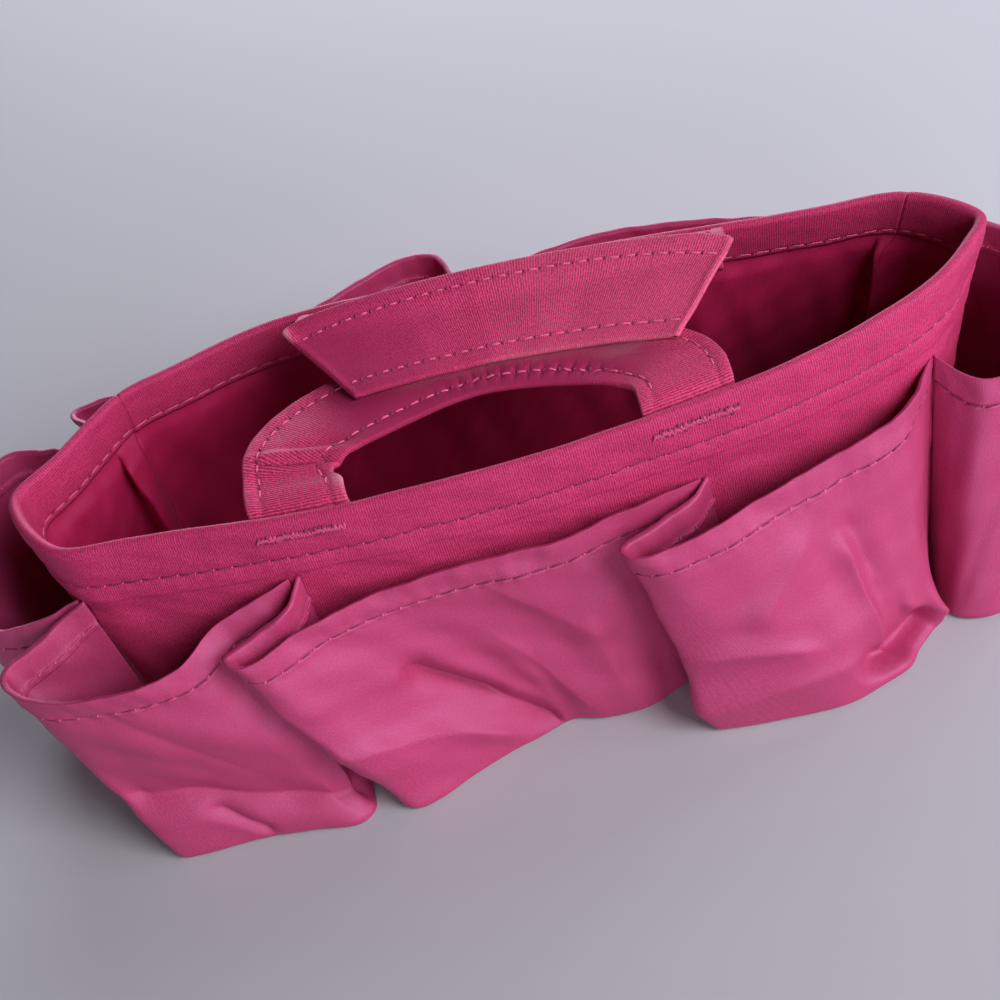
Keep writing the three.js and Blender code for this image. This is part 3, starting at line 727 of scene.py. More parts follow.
def cloth_material(name, groups, colour, threads_per_metre=1590.0, roughness=0.58, sheen=0.05,
                   weave_depth=0.07, rumple_depth=0.2, contrast=0.15, gloss=0.8, ribs=0.5,
                   wear_and_painted_shading=False):
    """Woven cloth: twill bump, soft rumples, a cloudy tone and a sheen.

    Where the cloth's own number per point is above 0 it is paler, with wear and with painted light, and
    below 0 it is darker, as painted shade."""
    _, tree, shader, room = new_material(name)
    rumple = add_node(tree, "Group", {"Vector": room}, node_tree=groups["rumple"]).outputs
    flat = add_node(tree, "UVMap", uv_map="cloth").outputs["UV"]
    laid = {"Vector": flat, "Threads per metre": threads_per_metre, "Ribs": ribs}
    weave = add_node(tree, "Group", laid, node_tree=groups["weave"]).outputs
    raised = tint(colour, 1 + 0.95 * contrast, 0.05 * contrast)
    tone = mix_colour(tree, spread(tree, weave["Tone"], 0.2, 0.8), tint(colour, 1 - contrast), raised)
    tone = mix_colour(tree, math_node(tree, "MULTIPLY", rumple["Cloud"], 0.35), tone, tint(colour, 0.86))
    rough = math_node(tree, "MULTIPLY", weave["Height"], 0.10)
    rough = math_node(tree, "ADD", rough, roughness - 0.05)
    if wear_and_painted_shading:
        mask = add_node(tree, "Attribute", attribute_name="wear_and_painted_shading").outputs["Fac"]
        # Painted shade where the number is below 0; where it is above 0 the cloth is paler, with wear and
        # with painted light.
        painted_shade = math_node(tree, "MULTIPLY", mask, -1.0, clamp=True)
        tone = mix_colour(tree, painted_shade, tone, tint(colour, 0.6))
        tone = mix_colour(tree, mask, tone, tint(colour, 1.25, 0.30))
    soft = bumped(tree, rumple["Height"], rumple_depth, Strength=0.8)
    fill_shader(tree, shader, {
        "Base Color": tone, "Roughness": rough,
        "Normal": bumped(tree, weave["Height"], weave_depth, Normal=soft),
        "Sheen Weight": sheen, "Sheen Roughness": 0.45, "Sheen Tint": (1.0, 0.35, 0.70),
        "Specular IOR Level": gloss, "Specular Tint": (0.90, 0.55, 1.0)})


def thread_material(name, groups, colour):
    """Glossy twisted thread: fine slanting strands and a cloudy tone."""
    _, tree, shader, room = new_material(name)
    rumple = add_node(tree, "Group", {"Vector": room}, node_tree=groups["rumple"]).outputs
    strands = add_node(tree, "TexWave", {
        "Vector": room, "Scale": 900.0}, bands_direction="DIAGONAL").outputs["Fac"]
    tone = mix_colour(tree, rumple["Cloud"], tint(colour, 0.8), tint(colour, 1.15, 0.03))
    rough = math_node(tree, "ADD", math_node(tree, "MULTIPLY", strands, 0.12), 0.42)
    fill_shader(tree, shader, {
        "Base Color": tone, "Roughness": rough, "Normal": bumped(tree, strands, 0.05),
        "Sheen Weight": 0.05, "Sheen Tint": (1.0, 0.45, 0.80),
        "Specular IOR Level": 0.25, "Specular Tint": (0.90, 0.55, 1.0)})


def board_material(name, groups, colour):
    """Plain board: a fine fibrous grain and a cloudy tone."""
    _, tree, shader, room = new_material(name)
    rumple = add_node(tree, "Group", {"Vector": room}, node_tree=groups["rumple"]).outputs
    fibre = noise(tree, room, 900.0, 5.0)
    tone = mix_colour(tree, fibre, tint(colour, 0.85), tint(colour, 1.15))
    tone = mix_colour(tree, rumple["Cloud"], tone, tint(colour, 0.9))
    rough = math_node(tree, "ADD", math_node(tree, "MULTIPLY", fibre, 0.2), 0.62)
    fill_shader(tree, shader, {
        "Base Color": tone, "Roughness": rough, "Normal": bumped(tree, fibre, 0.05)})


def finish(name):
    """The material of that name, made with all the others at the first call."""
    if name not in bpy.data.materials:
        colours = bpy.context.scene.organizer_colours
        groups = {"weave": weave_group(), "rumple": rumple_group()}
        thread = tuple(colours.thread)
        cloth_material("wall_cloth", groups, tuple(colours.outer), sheen=0.02, contrast=0.42, gloss=0.32)
        cloth_material("pocket_cloth", groups, tuple(colours.pocket), contrast=0.2, gloss=1.05, ribs=0.18)
        cloth_material("lining_cloth", groups, tuple(colours.lining), 1500.0, roughness=0.6,
                       weave_depth=0.06, rumple_depth=0.25, contrast=0.1, gloss=0.4, ribs=0.3)
        cloth_material("strap_cloth", groups, tuple(colours.strap), contrast=0.6, gloss=0.15, wear_and_painted_shading=True)
        cloth_material("felt", groups, tuple(colours.felt), 3000.0, roughness=0.95, sheen=0.2,
                       weave_depth=0.05, contrast=0.1, gloss=0.2)
        board_material("board", groups, tuple(colours.board))
        # The paler copy of the thread is a painted highlight where stitches and loops catch the light; the
        # darker copy is painted shade where thread sinks into its groove and at needle holes.
        thread_material("thread", groups, thread)
        thread_material("lit_thread", groups, tint(thread, 1.2, 0.05))
        thread_material("shaded_thread", groups, tint(thread, 0.4))
    return bpy.data.materials[name]


def dress(made, material, body="bag", stands_for=(), blend=None):
    """Gives a piece its material in one slot and hides the nodes it stands for. A piece given a blend
    has its placement baked into its points, and the blend's bodies and stretch are not used; any other
    piece is attached to its body."""
    made.data.materials.clear()
    made.data.materials.append(finish(material))
    if stands_for:
        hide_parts(*stands_for)
    if blend:
        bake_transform(made)
    else:
        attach(made, body)
    return made


# The tub


def columns_between(first, last, spacing):
    """Places from first to last, about a spacing in millimetres apart on the rim."""
    table = np.linspace(first, last, 4001)
    run = lengths(wall_at(table, RIM_HEIGHT, 0.0), 0)
    count = int(run[-1] / spacing)
    return np.interp(np.linspace(0, run[-1], count + 1), run, table)


def rim_run(place):
    """Millimetres round the rim from the left tip to each place, by a fine table."""
    table = np.linspace(-4, POINTS + 4, 6001)
    run = lengths(wall_at(table, RIM_HEIGHT, 0.0), 0)
    return np.interp(place, table, run)


def wall_wave(place, height):
    """Slight waving of the whole wall, more at the rim than at the foot."""
    return 0.5 * waves(rim_run(place), height * 1.4, 3, 95.0) * (0.25 + 0.75 * height / RIM_HEIGHT)


def rim_relief(place, height, tub, pitch):
    """How far the rim's cloth stands out: it swells above the stitches, sinks under each
    stitch, and shows the facing's edge as a low ridge below them."""
    drop = RIM_HEIGHT - height
    row = tub.stitch_drop / MM
    run = rim_run(place)
    swell = tub.quilting / MM * np.sin(np.pi * np.clip(drop / row, 0, 1)) ** 0.7
    swell = swell * (1 + 0.35 * waves(run, height, 11, 30.0, 4))
    ridge = 0.34 * (smooth(row + 0.5, row + 2.2, drop) - smooth(
        row + tub.ridge_drop / MM - 0.3, row + tub.ridge_drop / MM + 0.7, drop))
    slack = 0.4 * waves(run, height * 2.0, 17, 42.0, 5) * smooth(row + 2, row + 9, drop)
    slack = slack + 0.22 * waves(run, height * 1.5, 19, 17.0, 4) * smooth(0, 4, drop)
    return swell + stitch_line(drop - row, run, pitch, 0.1) + ridge + slack


def rim_profile():
    """Outwards and height down the rim's cloth: up inside from the facing's edge, round a
    half circle over the top and down outside to the foot."""
    radius = -FACING_FACE / 2
    shoulder = RIM_HEIGHT - radius
    tub = bpy.context.scene.organizer_tub
    row = RIM_HEIGHT - tub.stitch_drop / MM
    upper = np.concatenate([
        np.linspace(shoulder, row + STITCH_BAND, 20)[1:],
        np.linspace(row + STITCH_BAND, row - STITCH_BAND, 17)[1:]])
    inside = np.concatenate([[row - tub.facing_below / MM], upper[::-1]])
    turn = np.linspace(np.pi, 0, 11)
    outside = np.concatenate([
        upper, np.linspace(row - STITCH_BAND, CLOSE_ON_WALL, 30)[1:],
        np.linspace(CLOSE_ON_WALL, WALL_FOOT, 14)[1:]])
    pressed = 0.75 * smooth(row - 0.4, row - tub.facing_below / MM, inside)
    outwards = np.concatenate([
        FACING_FACE + pressed, -radius + radius * np.cos(turn), np.zeros(len(outside))])
    height = np.concatenate([inside, shoulder + radius * np.sin(turn), outside])
    side = np.concatenate([-np.ones(len(inside)), np.cos(turn), np.ones(len(outside))])
    return outwards, height, side


def wall_stretch(first, last, spacing, tub, pitch):
    """The rim's cloth between two seams, with its relief on both faces."""
    outwards, height, side = rim_profile()
    place = columns_between(first, last, spacing)
    relief = rim_relief(place[None, :], height[:, None], tub, pitch)
    inner = np.where(side < 0, 0.55, 1.0)[:, None]
    seam = np.minimum(rim_run(place) - rim_run(first), rim_run(last) - rim_run(place))
    out = outwards[:, None] + wall_wave(place[None, :], height[:, None])
    seam_dip = np.where(side < 0, 0.0, 0.5)[:, None] * bump(seam, 1.1)[None, :]
    out = out + side[:, None] * (relief * inner - seam_dip)
    sway = 0.25 * waves(rim_run(place), 0, 23, 60.0, 4)[None, :] * smooth(60, 85, height)[:, None]
    return wall_at(place[None, :], height[:, None] + sway, out), height


def lining_offset(place, height):
    """How far the loose lining stands in from the wall, and how far along the outline it is
    moved: slack waves, and folds that run to nothing under the facing and may lie over."""
    tub = bpy.context.scene.organizer_tub
    run = rim_run(place)
    edge = RIM_HEIGHT - (tub.stitch_drop + tub.facing_below) / MM
    free = smooth(edge + 0.5, edge - 5, height)
    inward = tub.slack / MM * (1.3 + waves(run, height * 0.5, 31, 46.0, 5)) * free
    inward = inward + 0.35 * waves(run, height * 0.8, 37, 13.0, 4) * free
    moved = 0.0 * inward
    for middle, before, after, depth, lean, round_crest, over in LINING_FOLDS:
        at = middle + lean * (1 - height / edge)
        gap = (place - at + POINTS / 2) % POINTS - POINTS / 2
        width = np.where(gap < 0, before, after)
        share = np.clip((np.sqrt(gap**2 + 0.012**2) - 0.012) / width, 0, 1)
        fold = (1 - share**round_crest) ** 1.15 * smooth(edge + 1, edge - 5, height)
        inward = inward + depth * fold * (0.5 + 0.5 * smooth(edge, 50, height))
        moved = moved + over * fold
    return np.maximum(inward, 0.05), moved


class ORGANIZER_OT_walls(Operator):
    """Sews the tub's wall: outer cloth turned over the rim, interlining and lining"""
    bl_idname = "organizer.walls"
    bl_label = "Walls and rim"

    def execute(self, context):
        tub = context.scene.organizer_tub
        thread = context.scene.organizer_thread
        stretches = {"front": (LEFT_SEAM, RIGHT_SEAM), "back": (RIGHT_SEAM, LEFT_SEAM + POINTS)}
        for side, seams in stretches.items():
            grid, height = wall_stretch(*seams, WALL_SPACING, tub, thread.pitch / MM)
            outer = cloth(f"wall_cloth_{side}", grid, tub.cloth)
            dress(outer, "wall_cloth",
                  stands_for=(f"outer_{side}_panel", f"rim_facing_{side}"))
            felt = self.interlining(side, seams, outer)
            self.lining(side, seams, outer)
            row_height = RIM_HEIGHT - tub.stitch_drop / MM
            rows = self.rim_stitches(side, grid, height - row_height, thread)
        return {"FINISHED"}

    def interlining(self, side, seams, outer):
        """The felt between the wall's cloths."""
        place = columns_between(*seams, FELT_SPACING)[None, :]
        level = np.linspace(RIM_HEIGHT - 1.6, WALL_FOOT, 30)[:, None]
        grid = wall_at(place, level, INTERLINING_FACE + wall_wave(place, level))
        felt = cloth(f"wall_interlining_{side}", grid, FELT_CLOTH * MM)
        dress(felt, "felt", stands_for=(f"interlining_{side}",))
        return felt

    def lining(self, side, seams, outer):
        """The loose lining, from the floor to under the facing."""
        place = columns_between(*seams, LINING_SPACING)[None, :]
        level = np.linspace(FLOOR_TOP, RIM_HEIGHT - 10.5, 72)[:, None]
        inward, moved = lining_offset(place, level)
        grid = wall_at(place + moved, level, LINING_FACE - 0.15 + wall_wave(place, level) - inward)
        lining = cloth(f"lining_wall_{side}", grid, LINING_CLOTH * MM)
        dress(lining, "lining_cloth", stands_for=(f"lining_{side}",))

    def rim_stitches(self, side, grid, above_row, thread):
        """The row of stitches that holds the facing, as seen outside and inside."""
        square = normals(grid)
        rows = []
        # Outside, the threads in the groove are painted shade and their loops painted highlight; inside,
        # the threads are painted highlight and the loops painted shade.
        for face, row_side, seed, looks in (
                ("outside", 1, 5, ("shaded_thread", "lit_thread")),
                ("inside", -1, 6, ("lit_thread", "shaded_thread"))):
            row = np.where(np.sign(rim_profile()[2]) == row_side)[0]
            row = row[np.argmin(np.abs(above_row[row]))]
            rows += sew(f"rim_stitches_{side}_{face}", grid[row], square[row], thread.pitch / MM,
                        thread.radius / MM, seed, looks)
        return rows


class ORGANIZER_OT_base(Operator):
    """Lays the cloth under the base and the lining over its board"""
    bl_idname = "organizer.base"
    bl_label = "Base"

    def execute(self, context):
        across = np.linspace(0, 1, 61)[:, None]

        def panel(outwards, level, relief):
            """Front and back edge joined by straight lines, with a relief in height."""
            share = np.linspace(0, 1, 141)
            front = wall_at(share * POINTS / 2, level, outwards)
            back = wall_at(POINTS - share * POINTS / 2, level, outwards)
            grid = back[None] * (1 - across[..., None]) + front[None] * across[..., None]
            edge = np.minimum(across, 1 - across) * 90 + 0 * grid[..., 0]
            grid[..., 2] += relief(grid[..., 0], grid[..., 1]) * smooth(0, 12, edge)
            return grid

        floor = panel(LINING_FACE - 0.3, FLOOR_TOP - 0.25,
                      lambda x, y: 0.35 + 0.35 * waves(x, y, 41, 60.0, 5))
        top = cloth("floor_lining", floor, LINING_CLOTH * MM)
        dress(top, "lining_cloth", stands_for=("base_lining",))
        under = panel(-0.2, 0.06, lambda x, y: 0.05 + 0.04 * waves(x, y, 43, 50.0, 4))
        sole = cloth("base_cloth", under[::-1], BASE_CLOTH * MM)
        dress(sole, "pocket_cloth", stands_for=("base_outer_panel",))
        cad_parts["base_board"].data.materials.clear()
        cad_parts["base_board"].data.materials.append(finish("board"))
        return {"FINISHED"}


# The pockets


def pocket_edges(pocket, spacing):
    """Mouth, foot and inner foot of a pocket, at points about a spacing apart on its mouth."""
    first, last = pocket["seams"]
    span = float(rim_run(first + 0.5) - rim_run(first - 0.5))
    start, end = first + SEAM_SPACING / span, last - SEAM_SPACING / span

    def sewn(place, height):
        """A point just off the wall's own waved face."""
        return wall_at(place, height, 0.6 + wall_wave(place, height))

    mouth = np.vstack([sewn(start, pocket["tops"][0]), pocket["mouth"], sewn(end, pocket["tops"][1])])
    level = 0.35
    foot = np.vstack([sewn(start, level), [(x, y, level) for x, y in pocket["foot"]], sewn(end, level)])
    table = np.linspace(0, 1, 1501)
    run = lengths(spline(mouth, table), 0)
    share = np.interp(np.linspace(0, run[-1], int(run[-1] / spacing) + 1), run, table)
    inner = sewn(start + (end - start) * share, level)
    return spline(mouth, share), spline(foot, share), inner


def pocket_relief(pocket, u, depth, length, seed, sizes, pitch):
    """How far a pocket's cloth stands out: a thicker hem, its stitches drawn in, slack
    waves that die out at the edges, and the pocket's own creases."""
    hem = sizes.hem / MM
    band = 0.42 * (1 - smooth(hem - 0.4, hem + 1.6, depth))
    total = np.max(u)
    calm = smooth(0, 10, u) * smooth(0, 10, total - u) * smooth(0, 12, length - depth)
    slack = sizes.slack / MM * waves(u, depth, seed, 38.0, 5) * calm * smooth(0, 9, depth)
    edge = 0.38 * waves(u, depth, seed + 50, 16.0, 4) * (1 - smooth(0, 14, depth)) * smooth(0, 6, u)
    relief = band + stitch_line(depth - hem, u, pitch, -0.11) + slack + edge
    for entry in pocket["creases"]:
        relief = relief + crease(u, depth, *entry)
    return relief


def pocket_grid(pocket, seed, sizes, pitch):
    """A pocket's cloth from the inner edge of its hem, over the mouth, down the face,
    round the foot and under to the tub.

    The face is a straight line from mouth to foot in each column, moved out by the relief,
    and the foot's corner is a parabola between the two straights."""
    mouth, foot, inner = pocket_edges(pocket, POCKET_SPACING)
    side = foot - mouth
    length = np.linalg.norm(side, axis=1)
    down = side / length[:, None]
    under = unit(inner - foot)
    reach = np.linalg.norm(inner - foot, axis=1)
    roll = np.minimum(sizes.roll / MM, 0.45 * reach)
    u = lengths(mouth, 0)
    columns = len(u)
    turning = sizes.turning / MM
    line = sizes.hem / MM
    fine = np.concatenate([
        np.linspace(0, 0.5, 5), np.linspace(0.5, line - STITCH_BAND, 12)[1:],
        np.linspace(line - STITCH_BAND, line + STITCH_BAND, 17)[1:],
        np.linspace(line + STITCH_BAND, CLOSE_ON_POCKET, 9)[1:]])
    lower = np.linspace(0, 1, 62)[1:, None]
    rest = (length - roll - CLOSE_ON_POCKET)[None, :]
    depth = np.vstack([
        np.repeat(fine[:, None], columns, axis=1), CLOSE_ON_POCKET + rest * lower])
    face = mouth[None] + down[None] * depth[..., None]
    square = normals(face)
    relief = pocket_relief(pocket, u[None, :], depth, length[None, :], seed, sizes, pitch)
    relief = relief * smooth(0, 5, length[None, :] - depth)
    face = face + square * relief[..., None]
    face[..., 2] = np.maximum(face[..., 2], 0.3)
    corner = np.linspace(0, 1, 9)[1:, None, None]
    start = face[-1]
    end = foot + under * roll[:, None]
    bend = rounded(start, foot, end, corner)
    sole = end + (inner - end) * np.linspace(0, 1, 8)[1:, None, None]
    back = np.concatenate([np.linspace(turning, 0.9, 16), np.array([0.62, 0.38, 0.2, 0.08, 0.02])])
    tucked = np.minimum(back / 0.8, 1)[:, None]
    thick = 0.95 + 0.65 * smooth(2, 14, np.minimum(u, u[-1] - u))[None, :]
    layer = thick * np.sqrt(1 - (1 - tucked) ** 2)
    hem = mouth[None] + down[None] * back[:, None, None]
    hem_relief = np.stack([np.interp(back, depth[:, 0], column) for column in relief.T], axis=1)
    hem = hem + square[0][None] * (hem_relief - layer)[..., None]
    grid = np.concatenate([hem, face, bend, sole])
    rows = np.concatenate([-back, depth[:, columns // 2]])
    tail = lengths(np.concatenate([face[-1:], bend, sole]), 0)[1:, columns // 2]
    rows = np.concatenate([rows, rows[-1] + tail])
    uv = np.stack(np.meshgrid(u, rows), axis=-1) * MM
    hem_row = len(back) + int(np.argmin(np.abs(fine - sizes.hem / MM)))
    inner_row = int(np.argmin(np.abs(back - sizes.hem / MM)))
    return grid, uv, hem_row, inner_row


class ORGANIZER_OT_pockets(Operator):
    """Sews the seven pockets round the tub, each with its turned and stitched hem"""
    bl_idname = "organizer.pockets"
    bl_label = "Pockets"

    def execute(self, context):
        sizes = context.scene.organizer_pockets
        thread = context.scene.organizer_thread
        pitch = thread.pitch / MM
        for number, (name, pocket) in enumerate(POCKETS.items()):
            grid, uv, hem_row, inner_row = pocket_grid(pocket, 60 + number, sizes, pitch)
            made = cloth(name.replace("pocket", "pocket_cloth"), grid, POCKET_CLOTH * MM, uv)
            dress(made, "pocket_cloth", stands_for=(name,))
            square = normals(grid)
            rows = []
            # Outside, the hem's threads are painted shade in their groove; on both faces the loops are
            # painted highlight.
            for face, row, look in (
                    ("outside", hem_row, "shaded_thread"), ("inside", inner_row, "thread")):
                rows += sew(f"{name}_stitches_{face}", grid[row], square[row], pitch, thread.radius / MM,
                            80 + number, (look, "lit_thread"))
        return {"FINISHED"}


# The handles


def front_outline(steps):
    """Outer and inner edge of the front handle in its own plane: across, and out from its
    hinge line, from the left leg to the right."""
    t = np.linspace(0, 1, steps)
    return spline(FRONT["outer"], t), spline(FRONT["inner"], t)


def resample(points, shares):
    """A path's points at shares of its length."""
    run = lengths(points, 0)
    at = np.asarray(shares) * run[-1]
    return np.stack([np.interp(at, run, points[:, k]) for k in range(points.shape[1])], axis=1)


def across_shares():
    """Shares across a strap, close together at both edges."""
    t = np.linspace(0, 1, 42)
    return 0.5 - 0.5 * np.sign(np.cos(np.pi * t)) * np.abs(np.cos(np.pi * t)) ** 0.8


def strap_thickness(width_at, sizes):
    """Half the strap's thickness: full in the middle, drawn in along both rows of stitches,
    and closing round at the edges."""
    full = sizes.thickness / MM / 2
    inset = sizes.inset / MM
    edge = np.minimum(width_at, STRAP_WIDTH - width_at)
    close = np.sqrt(1 - (1 - np.clip(edge / 0.7, 0, 1)) ** 2)
    groove = 0.34 * bump(edge - inset, 0.5)
    swell = 0.1 * bump(edge - inset / 2, 1.4) + 0.08 * smooth(inset, inset + 5, edge)
    return np.maximum(full * close - groove + swell * close, 0.0)


def turn_up(across, out, height, tilt):
    """A point out from a hinge line along X, raised by a tilt in degrees."""
    angle = np.radians(tilt)
    return np.stack([across, out * np.cos(angle) - height * np.sin(angle),
                     out * np.sin(angle) + height * np.cos(angle)], axis=-1)


def tab_points(x, places, spread):
    """Middle of a sewn strap end: down the inside of the facing at each X."""
    place = place_at_x(x, places)
    level = np.linspace(TAB_FOOT, RIM_HEIGHT - 2.6, 9)[:, None]
    return wall_at(place[None, :], level, FACING_FACE - 0.35 - spread)


def front_middle(shares):
    """Middle surface of the front handle, from one sewn end round to the other.

    The arch lies between its two edges and droops towards its crown; each end turns down
    over the hinge line on a parabola and runs down inside the facing."""
    edge, hole = front_outline(400)
    t = np.linspace(0, 1, 301)
    marks = [0, 0.13, 0.3, 0.7, 0.87, 1]
    outer = resample(edge, t)
    inner = resample(hole, np.interp(t, marks, [0, 0.085, 0.28, 0.72, 0.915, 1]))
    flat = outer[:, None] * (1 - shares[None, :, None]) + inner[:, None] * shares[None, :, None]
    keep = flat[:, :, 1].min(axis=1) > 2.2
    flat, t = flat[keep], t[keep]
    across, out = flat[..., 0], flat[..., 1]
    run = lengths(flat[:, len(shares) // 2], 0)
    inner_edge = smooth(0.70, 0.97, shares)[None, :]
    crown = smooth(0.40, 0.52, t) * (1 - smooth(0.78, 0.86, t))
    pit = np.clip(np.cos(2 * np.pi * run / 4.3), -0.2, 1) * crown
    row = bump((1 - shares) * STRAP_WIDTH - 4.4, 1.9)[None, :]
    rise = 1.3 - 0.045 * np.clip(across - 10, 0, 60)
    height = rise * smooth(6, 24, out) - 0.42 * pit[:, None] * row
    height = height - 0.9 * inner_edge * (smooth(0.2, 0.35, t) * (1 - smooth(0.85, 0.95, t)))[:, None]
    height = height + 0.2 * waves(across, out, 91, 22.0, 4) * smooth(3, 12, out)
    height = height + handle_crease(across, out)
    arch = turn_up(across, out, height, FRONT["tilt"])
    arch = arch + (FRONT["x"], FRONT["y"], PIVOT_HEIGHT)

    def sewn_end(row):
        """Tab and turn below one end of the arch, from the tab's foot up."""
        tab = tab_points(row[:, 0], FRONT_PLACES, 1.0)
        corner = np.stack([row[:, 0], tab[-1][:, 1], row[:, 2] + 0.1], axis=1)
        s = np.linspace(0, 1, 12)[1:-1, None, None]
        return np.concatenate([tab, rounded(tab[-1], corner, row, s)])

    left, right = sewn_end(arch[0]), sewn_end(arch[-1])
    return np.concatenate([left, arch, right[::-1]]), len(left)


def handle_crease(across, out):
    """The left leg's crease, fanning from the notch in its inner edge: a valley with a low
    ridge above it, and a shorter valley above that."""
    u = across - FRONT["crease"][0]
    v = out - FRONT["crease"][1]
    leg = smooth(24, 6, u) * smooth(-14, -2, u)
    valley = -1.3 * bump(v + 0.30 * u, 1.1) + 0.9 * bump(v - 2.4 + 0.26 * u, 1.3)
    second = -0.7 * bump(v - 4.6 + 0.16 * u, 1.0) * smooth(-4, 4, u)
    below = -0.9 * smooth(0, -5, v + 0.30 * u)
    return (valley + second) * leg + below * smooth(24, 6, u) * smooth(-16, -8, u) * smooth(2, 6, out)


def strap_rows(name, middle, half, shares, context, seed, body="bag", blend=None, keep=slice(None),
               share=(0.62, 0.62)):
    """Rows of stitches along both edges of a strap, on both faces."""
    thread = context.scene.organizer_thread
    inset = context.scene.organizer_straps.inset / MM
    square = normals(middle)
    for label, target in (("outer", inset / STRAP_WIDTH), ("inner", 1 - inset / STRAP_WIDTH)):
        column = int(np.argmin(np.abs(shares - target)))
        for face, way in (("top", 1), ("under", -1)):
            path = middle[keep, column] + way * square[keep, column] * half[keep, column][:, None]
            # The strap's threads are painted highlight and their loops painted shade at the needle holes.
            sew(f"{name}_stitches_{label}_{face}", path, way * square[keep, column],
                thread.strap_pitch / MM, thread.radius / MM * 1.25, seed + way,
                ("lit_thread", "shaded_thread"), share, body, blend)


def edge_wear(shares):
    """A faint worn line along both edges of a strap."""
    return 0.12 * bump(np.minimum(shares, 1 - shares) * STRAP_WIDTH, 0.6)


def sew_strap(name, middle, half, wear_and_painted_shading, nodes, body="bag", blend=None):
    """A strap of cloth that stands for some nodes, paler or darker at each point as told: wear, painted
    light and painted shade.
    """
    made = strap(name, middle, half)
    set_values(made, "wear_and_painted_shading", np.concatenate([wear_and_painted_shading, wear_and_painted_shading]))
    dress(made, "strap_cloth", body, nodes, blend)


def stiffen(name, core, node, body="bag", blend=None):
    """The thin felt inside a strap."""
    made = strap(name, core, np.full(core.shape[:2], 0.2))
    dress(made, "felt", body, (node,), blend)


class ORGANIZER_OT_front_handle(Operator):
    """Sews the front handle: an arched strap with its stiffening and stitches"""
    bl_idname = "organizer.front_handle"
    bl_label = "Front handle"

    def execute(self, context):
        sizes = context.scene.organizer_straps
        shares = across_shares()
        middle, ends = front_middle(shares)
        half = strap_thickness(shares * STRAP_WIDTH, sizes) * np.ones((len(middle), 1))
        start = (FRONT["x"], FRONT["y"] - 2.2, PIVOT_HEIGHT - 1.9)
        end = (FRONT["x"], FRONT["y"] + 1.8, PIVOT_HEIGHT + 1.1)
        follow = ("bag", "front_handle", start, end)
        flap = np.linalg.norm(middle - middle[ends + 3, -1], axis=-1)
        # Paler with wear along both edges, and paler round the flap at the left foot's inner edge.
        wear_and_painted_shading = edge_wear(shares) + 0.55 * bump(flap, 3.2) * smooth(0.8, 1.0, shares)
        x, out = middle[..., 0] - FRONT["x"], middle[..., 1] - FRONT["y"]
        # Painted shade: the arch is darkened across its middle, away from the hinge line, where the grip
        # lies over it.
        wear_and_painted_shading = wear_and_painted_shading - smooth(-48, -28, x) * smooth(54, 42, x) * smooth(4, 15, out)
        nodes = ("front_handle_strap", "front_handle_left_tab", "front_handle_right_tab")
        sew_strap("front_handle", middle, half, wear_and_painted_shading, nodes, blend=follow)
        stiffen("front_handle_stiffening", middle[3:-3:2, 6:-6], "front_handle_core", blend=follow)
        strap_rows("front_handle", middle, half, shares, context, 101, blend=follow,
                   keep=slice(ends - 2, -ends + 2))
        return {"FINISHED"}


def back_place(across, out, height):
    """A point of the back handle, across and out from its hinge line, put in the bag."""
    across, out, height = np.broadcast_arrays(across, out, height)
    c, s = BACK["turn"]
    return np.stack([BACK["x"] + across * c - out * s, BACK["y"] + across * s + out * c,
                     PIVOT_HEIGHT + height], axis=-1)


def grip_place(across, out, height):
    """A point of the grip, across, out from the crease and up in the grip's own plane, put in the bag."""
    rise, droop = np.radians(BACK["legs_tilt"]), np.radians(-BACK["droop"])
    reach = BACK["crease"]
    return back_place(across, reach * np.cos(rise) + out * np.cos(droop) - height * np.sin(droop),
                      reach * np.sin(rise) + out * np.sin(droop) + height * np.cos(droop))


def back_grip(shares):
    """Middle surface of the back handle's grip, from its free edge to its creased edge.

    In its own plane, measured out from the crease, both long edges are bowed back between
    slanting ends: the free edge on a parabola, the creased edge as (1 - x^2)^0.6. The cloth
    behind the crease curls up over the legs."""
    t = np.linspace(0, 1, 281)
    low, high = BACK["near"], BACK["overhang"]
    free = np.stack([low - 2 * low * t, BACK["free"] + 3.2 * (1 - 2 * t) ** 2], axis=1)
    x = high * np.cos(np.pi * t)
    x = 0.35 * x + 0.65 * (high - 2 * high * t)
    creased = np.stack([x, -BACK["bow"] * np.clip(1 - (x / high) ** 2, 0, 1) ** 0.6 - 0.4], axis=1)
    flat = free[:, None] * (1 - shares[None, :, None]) + creased[:, None] * shares[None, :, None]
    across, out = flat[..., 0], flat[..., 1]
    curl = BACK["curl"] * smooth(3.5, -3.5, out)
    twist = 0.8 * np.sin(across / 36.0) * smooth(4, 18, out)
    height = curl + twist + 0.3 * waves(across, out, 95, 30.0, 4) * smooth(3, 9, out)
    return grip_place(across, out, height), t


